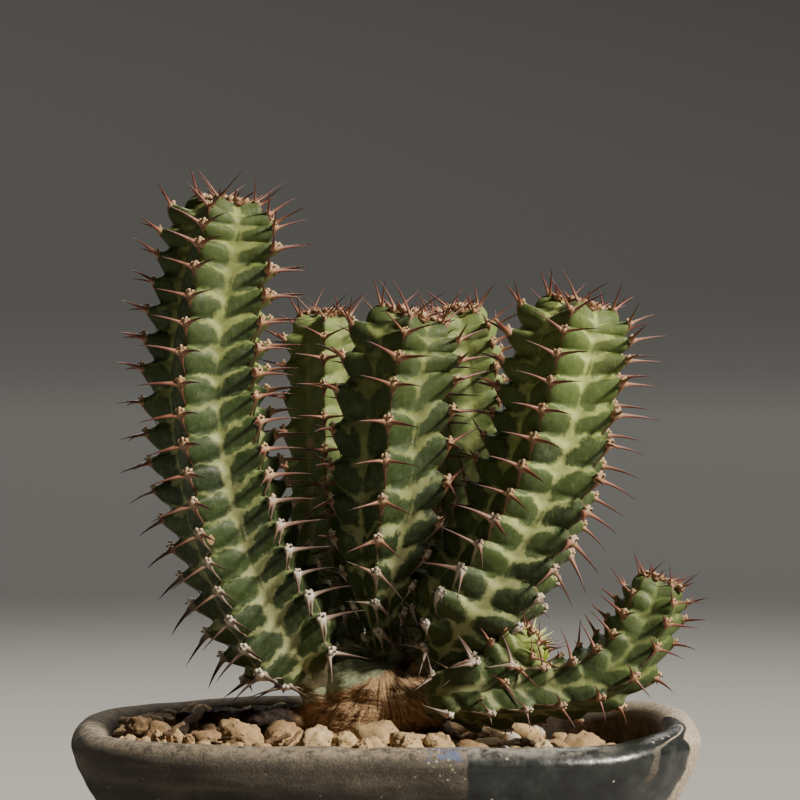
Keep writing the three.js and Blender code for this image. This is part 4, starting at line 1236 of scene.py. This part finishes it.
def bowl(look):
    """The bowl as thrown and pressed by hand, a little uneven."""
    segments = 260
    rings = []  # half width, half depth, height, 1 on the outside, share of the lip's roll

    def put(inset, height, outer, roll=0.0):
        rings.append((BOWL_HALF_WIDTH - inset, BOWL_HALF_DEPTH - inset, height, outer, roll))

    for radius, height in ((DRAIN_RADIUS, FLOOR), (DRAIN_RADIUS, 0.35), (DRAIN_RADIUS + 0.3, 0)):
        rings.append((radius, radius, height, 1.0, 0.0))
    for share in (0.55, 0.8):
        rings.append((*(mixed(DRAIN_RADIUS, half - FOOT_INSET - 0.8, share)
                        for half in (BOWL_HALF_WIDTH, BOWL_HALF_DEPTH)), 0, 1.0, 0.0))
    for inset, height in ((0.8, 0), (0.3, 0.15), (0.05, 0.5), (0, 1.2)):
        put(FOOT_INSET + inset, height, 1.0)
    for height in np.linspace(FOOT_HEIGHT, LIP_CENTRE_HEIGHT - 0.8, 34):
        put(outer_inset(height), height, 1.0)
    for roll in np.linspace(0, math.pi, 22):
        put(LIP_RADIUS * (1 - math.cos(roll)), LIP_CENTRE_HEIGHT + LIP_RADIUS * math.sin(roll),
            1.0 if roll < 2.5 else 0.5 if roll < 2.8 else 0.0, roll / math.pi)
    for height in np.linspace(LIP_CENTRE_HEIGHT - 2, FLOOR + 1, 14):
        put(inner_inset(height), height, 0.0, 1.0)
    put(inner_inset(FLOOR) + 3, FLOOR, 0.0, 1.0)
    points = np.concatenate([even_ring(*ring[:3], segments) for ring in rings])
    outside, roll = (np.repeat([ring[k] for ring in rings], segments) for k in (3, 4))
    faces = grid_faces(len(rings), segments)
    last = (len(rings) - 1) * segments
    faces += [(last + c, last + (c + 1) % segments, (c + 1) % segments, c)
              for c in range(segments)]
    up = smooth((points[:, 2] - 4) / 20)
    around = points * (1, 1, 0.35)
    push = rough(around, (30, 31, 0.9), (9, 32, 0.22))
    throwing = np.sin(points[:, 2] * 1.35 + 2.2 * wobble(around, 26, 33)) * 0.09
    away = unit(points * (1, 1, 0))
    points += away * ((push * 0.6 + throwing * outside) * up)[:, None]
    lift = rough(around, (24, 34, 0.55), (7, 35, 0.16))
    lift += 1.3 * smooth((points[:, 0] - 44) / 14) - 0.5 * smooth((points[:, 0] - 14) / 12)
    points[:, 2] += lift * smooth((points[:, 2] - 36) / 8)
    chip = np.exp(-((points[:, 0] + 4.5) / 3.4) ** 2 - ((points[:, 1] + 46.5) / 2.6) ** 2)
    points[:, 2] -= 0.9 * chip * smooth((points[:, 2] - 42) / 3)
    shape = Shape()
    shape.add(points, faces, outer=outside, roll=roll)
    return shape.piece("bowl", look, "stoneware", ["pot"])


# Stage

AIM = np.array((2.9, 0, 113.6))
VIEW_DISTANCE = 900
VIEW_RISE = math.radians(2.5)
LENS = 192.86


def aimed(thing, place, target):
    thing.location = Vector(place) * MM
    way = Vector(target) - Vector(place)
    thing.rotation_mode = "QUATERNION"
    thing.rotation_quaternion = way.to_track_quat("-Z", "Y")


def camera():
    data = bpy.data.cameras.new("camera")
    data.lens = LENS
    data.sensor_width = 36
    data.clip_start, data.clip_end = 0.02, 60
    made = placed("camera", data)
    back = np.array((0, -math.cos(VIEW_RISE), math.sin(VIEW_RISE)))
    aimed(made, AIM + back * VIEW_DISTANCE, AIM)
    bpy.context.scene.camera = made


def sun(name, way, power, softness, colour):
    """A distant soft light that shines from a direction."""
    data = bpy.data.lights.new(name, "SUN")
    data.energy = power
    data.angle = math.radians(softness)
    data.color = colour
    aimed(placed(name, data), np.array(way) * VIEW_DISTANCE, (0, 0, 0))


# The stage's radius and height where it rises behind
SWEEP = ((900, 0), (1900, 0), (2500, 0), (2800, 18), (3050, 75), (3250, 190), (3370, 370),
         (3420, 620))


FLOOR_DROP = 0.3
# Name, the way from which it shines, power, softness in degrees and colour
SUNS = (("key", (0.92, -0.48, 0.74), 7.4, 8, (1.0, 0.93, 0.81)),
        ("rim", (0.08, 0.8, 0.75), 1.5, 28, (1.0, 0.95, 0.86)))
WORLD_COLOUR, WORLD_STRENGTH = (0.55, 0.56, 0.57, 1), 0.06


def stage():
    camera()
    for given in SUNS:
        sun(*given)
    world = bpy.data.worlds.new("studio")
    bpy.context.scene.world = world
    world.use_nodes = True
    background = world.node_tree.nodes["Background"]
    background.inputs["Color"].default_value = WORLD_COLOUR
    background.inputs["Strength"].default_value = WORLD_STRENGTH
    segments = 96
    rings = [circle(r, h - FLOOR_DROP, segments) for r, h in reversed(SWEEP)]
    last = (len(rings) - 1) * segments
    faces = grid_faces(len(rings), segments) + [tuple(range(last, last + segments))]
    mesh = bpy.data.meshes.new("floor")
    mesh.from_pydata((np.concatenate(rings) * MM).tolist(), [], faces)
    floor = placed("floor", mesh)
    mesh.shade_smooth()
    mesh.materials.append(floor_look("floor"))


# The plant and its bowl

for each in BRANCHES.values():
    each["axis"] = axis_of(each["path"])
BALLS = {level: ball(level) for level in (1, 2, 3, 4)}

PALE, FRESH = np.array(((0.28, 0.325, 0.1), (0.075, 0.122, 0.024)))
DEEP = (0.015, 0.026, 0.007)
BACK_TONES = (PALE, (0.2, 0.28, 0.085), (0.05, 0.08, 0.022), 0.75)
SCAR = (0.42, 0.27, 0.14)
# One mark on a skin: its middle, its half sizes, the size of its ragged edge and its colour
MARKS = {
    "left": ((-36, -21, 85.6), (0.8, 4, 1.1), 0.8, SCAR),
    "centre": ((5.6, -21, 105.8), (0.45, 5, 1.7), 0.6, (0.5, 0.52, 0.4)),
    "right": ((43.2, -16, 132.6), (0.9, 4, 0.9), 0.9, (0.02, 0.014, 0.008)),
    "back_left": ((-16.6, 17, 103.6), (1.3, 4, 1.2), 0.8, SCAR),
    "new_shoot": ((34.6, -18, 61), (3, 8, 3.4), 2.0, (0.34, 0.43, 0.06)),
}
# The pale net, the fresh flesh, the patches, their contrast, and 1 for new growth
TONES = {
    "left": (PALE * 0.94, FRESH * 0.94, DEEP, 1.0),
    "centre": (PALE * 0.74, FRESH * 0.74, DEEP, 1.0),
    "right": (PALE * 1.42, FRESH * 1.42, DEEP, 0.95),
    "back_left": BACK_TONES,
    "back_right": BACK_TONES,
    "low_right": ((0.16, 0.2, 0.055), (0.072, 0.115, 0.023), (0.016, 0.03, 0.007), 0.9),
    "new_shoot": ((0.28, 0.33, 0.13), (0.1, 0.155, 0.038), (0.02, 0.035, 0.009), 0.85, 1.0),
}
SKINS = {key: skin_look(f"skin_{key}", MARKS.get(key), *tones) for key, tones in TONES.items()}
SPINE_LOOK = spine_look("spines")


def dressed_branch(name, branch):
    skin = Shape()
    skin_shape(skin, branch)
    skin.piece(f"{name}_skin", SKINS[name], "plant_skin", [branch["node"]])
    shape = Shape()
    spines = cad_spines(branch["node"])
    starts, pitches = teeth_of(branch)
    rng = random.Random(branch["seed"])
    for tooth, (start, pitch) in enumerate(zip(starts, pitches)):
        for rib in range(RIBS):
            areole_shape(shape, branch, spines, rib, tooth, start, pitch, rng)
    crown_shape(shape, branch, rng)
    shape.piece(f"{name}_spines", SPINE_LOOK, "plant_skin")


for key, each in BRANCHES.items():
    dressed_branch(key, each)

BARK = bark_look("bark")
tree = BVHTree.FromObject(rootstock(BARK), bpy.context.evaluated_depsgraph_get())
fibres = Shape()
fibre_shape(fibres, tree, random.Random(71))
fibres.piece("loose_fibres", BARK, "bark")
stick_shape(random.Random(37)).piece("bark_bits", BARK, "pumice_soil")

ground(ground_look("ground"))
PUMICE = stone_look("pumice", 0.8)
large_stones, small_stones = stones(random.Random(23))
large_stones.piece("pumice_large", PUMICE, "pumice_soil")
small_stones.piece("pumice_small", PUMICE, "pumice_soil")
grit_shape(random.Random(29)).piece("grit", stone_look("grit", 0.3), "pumice_soil")

bowl(pot_look("stoneware"))
mesh_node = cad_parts["drain_mesh"]
mesh_node.data.materials.clear()
mesh_node.data.materials.append(plastic_look("drain_plastic"))

stage()
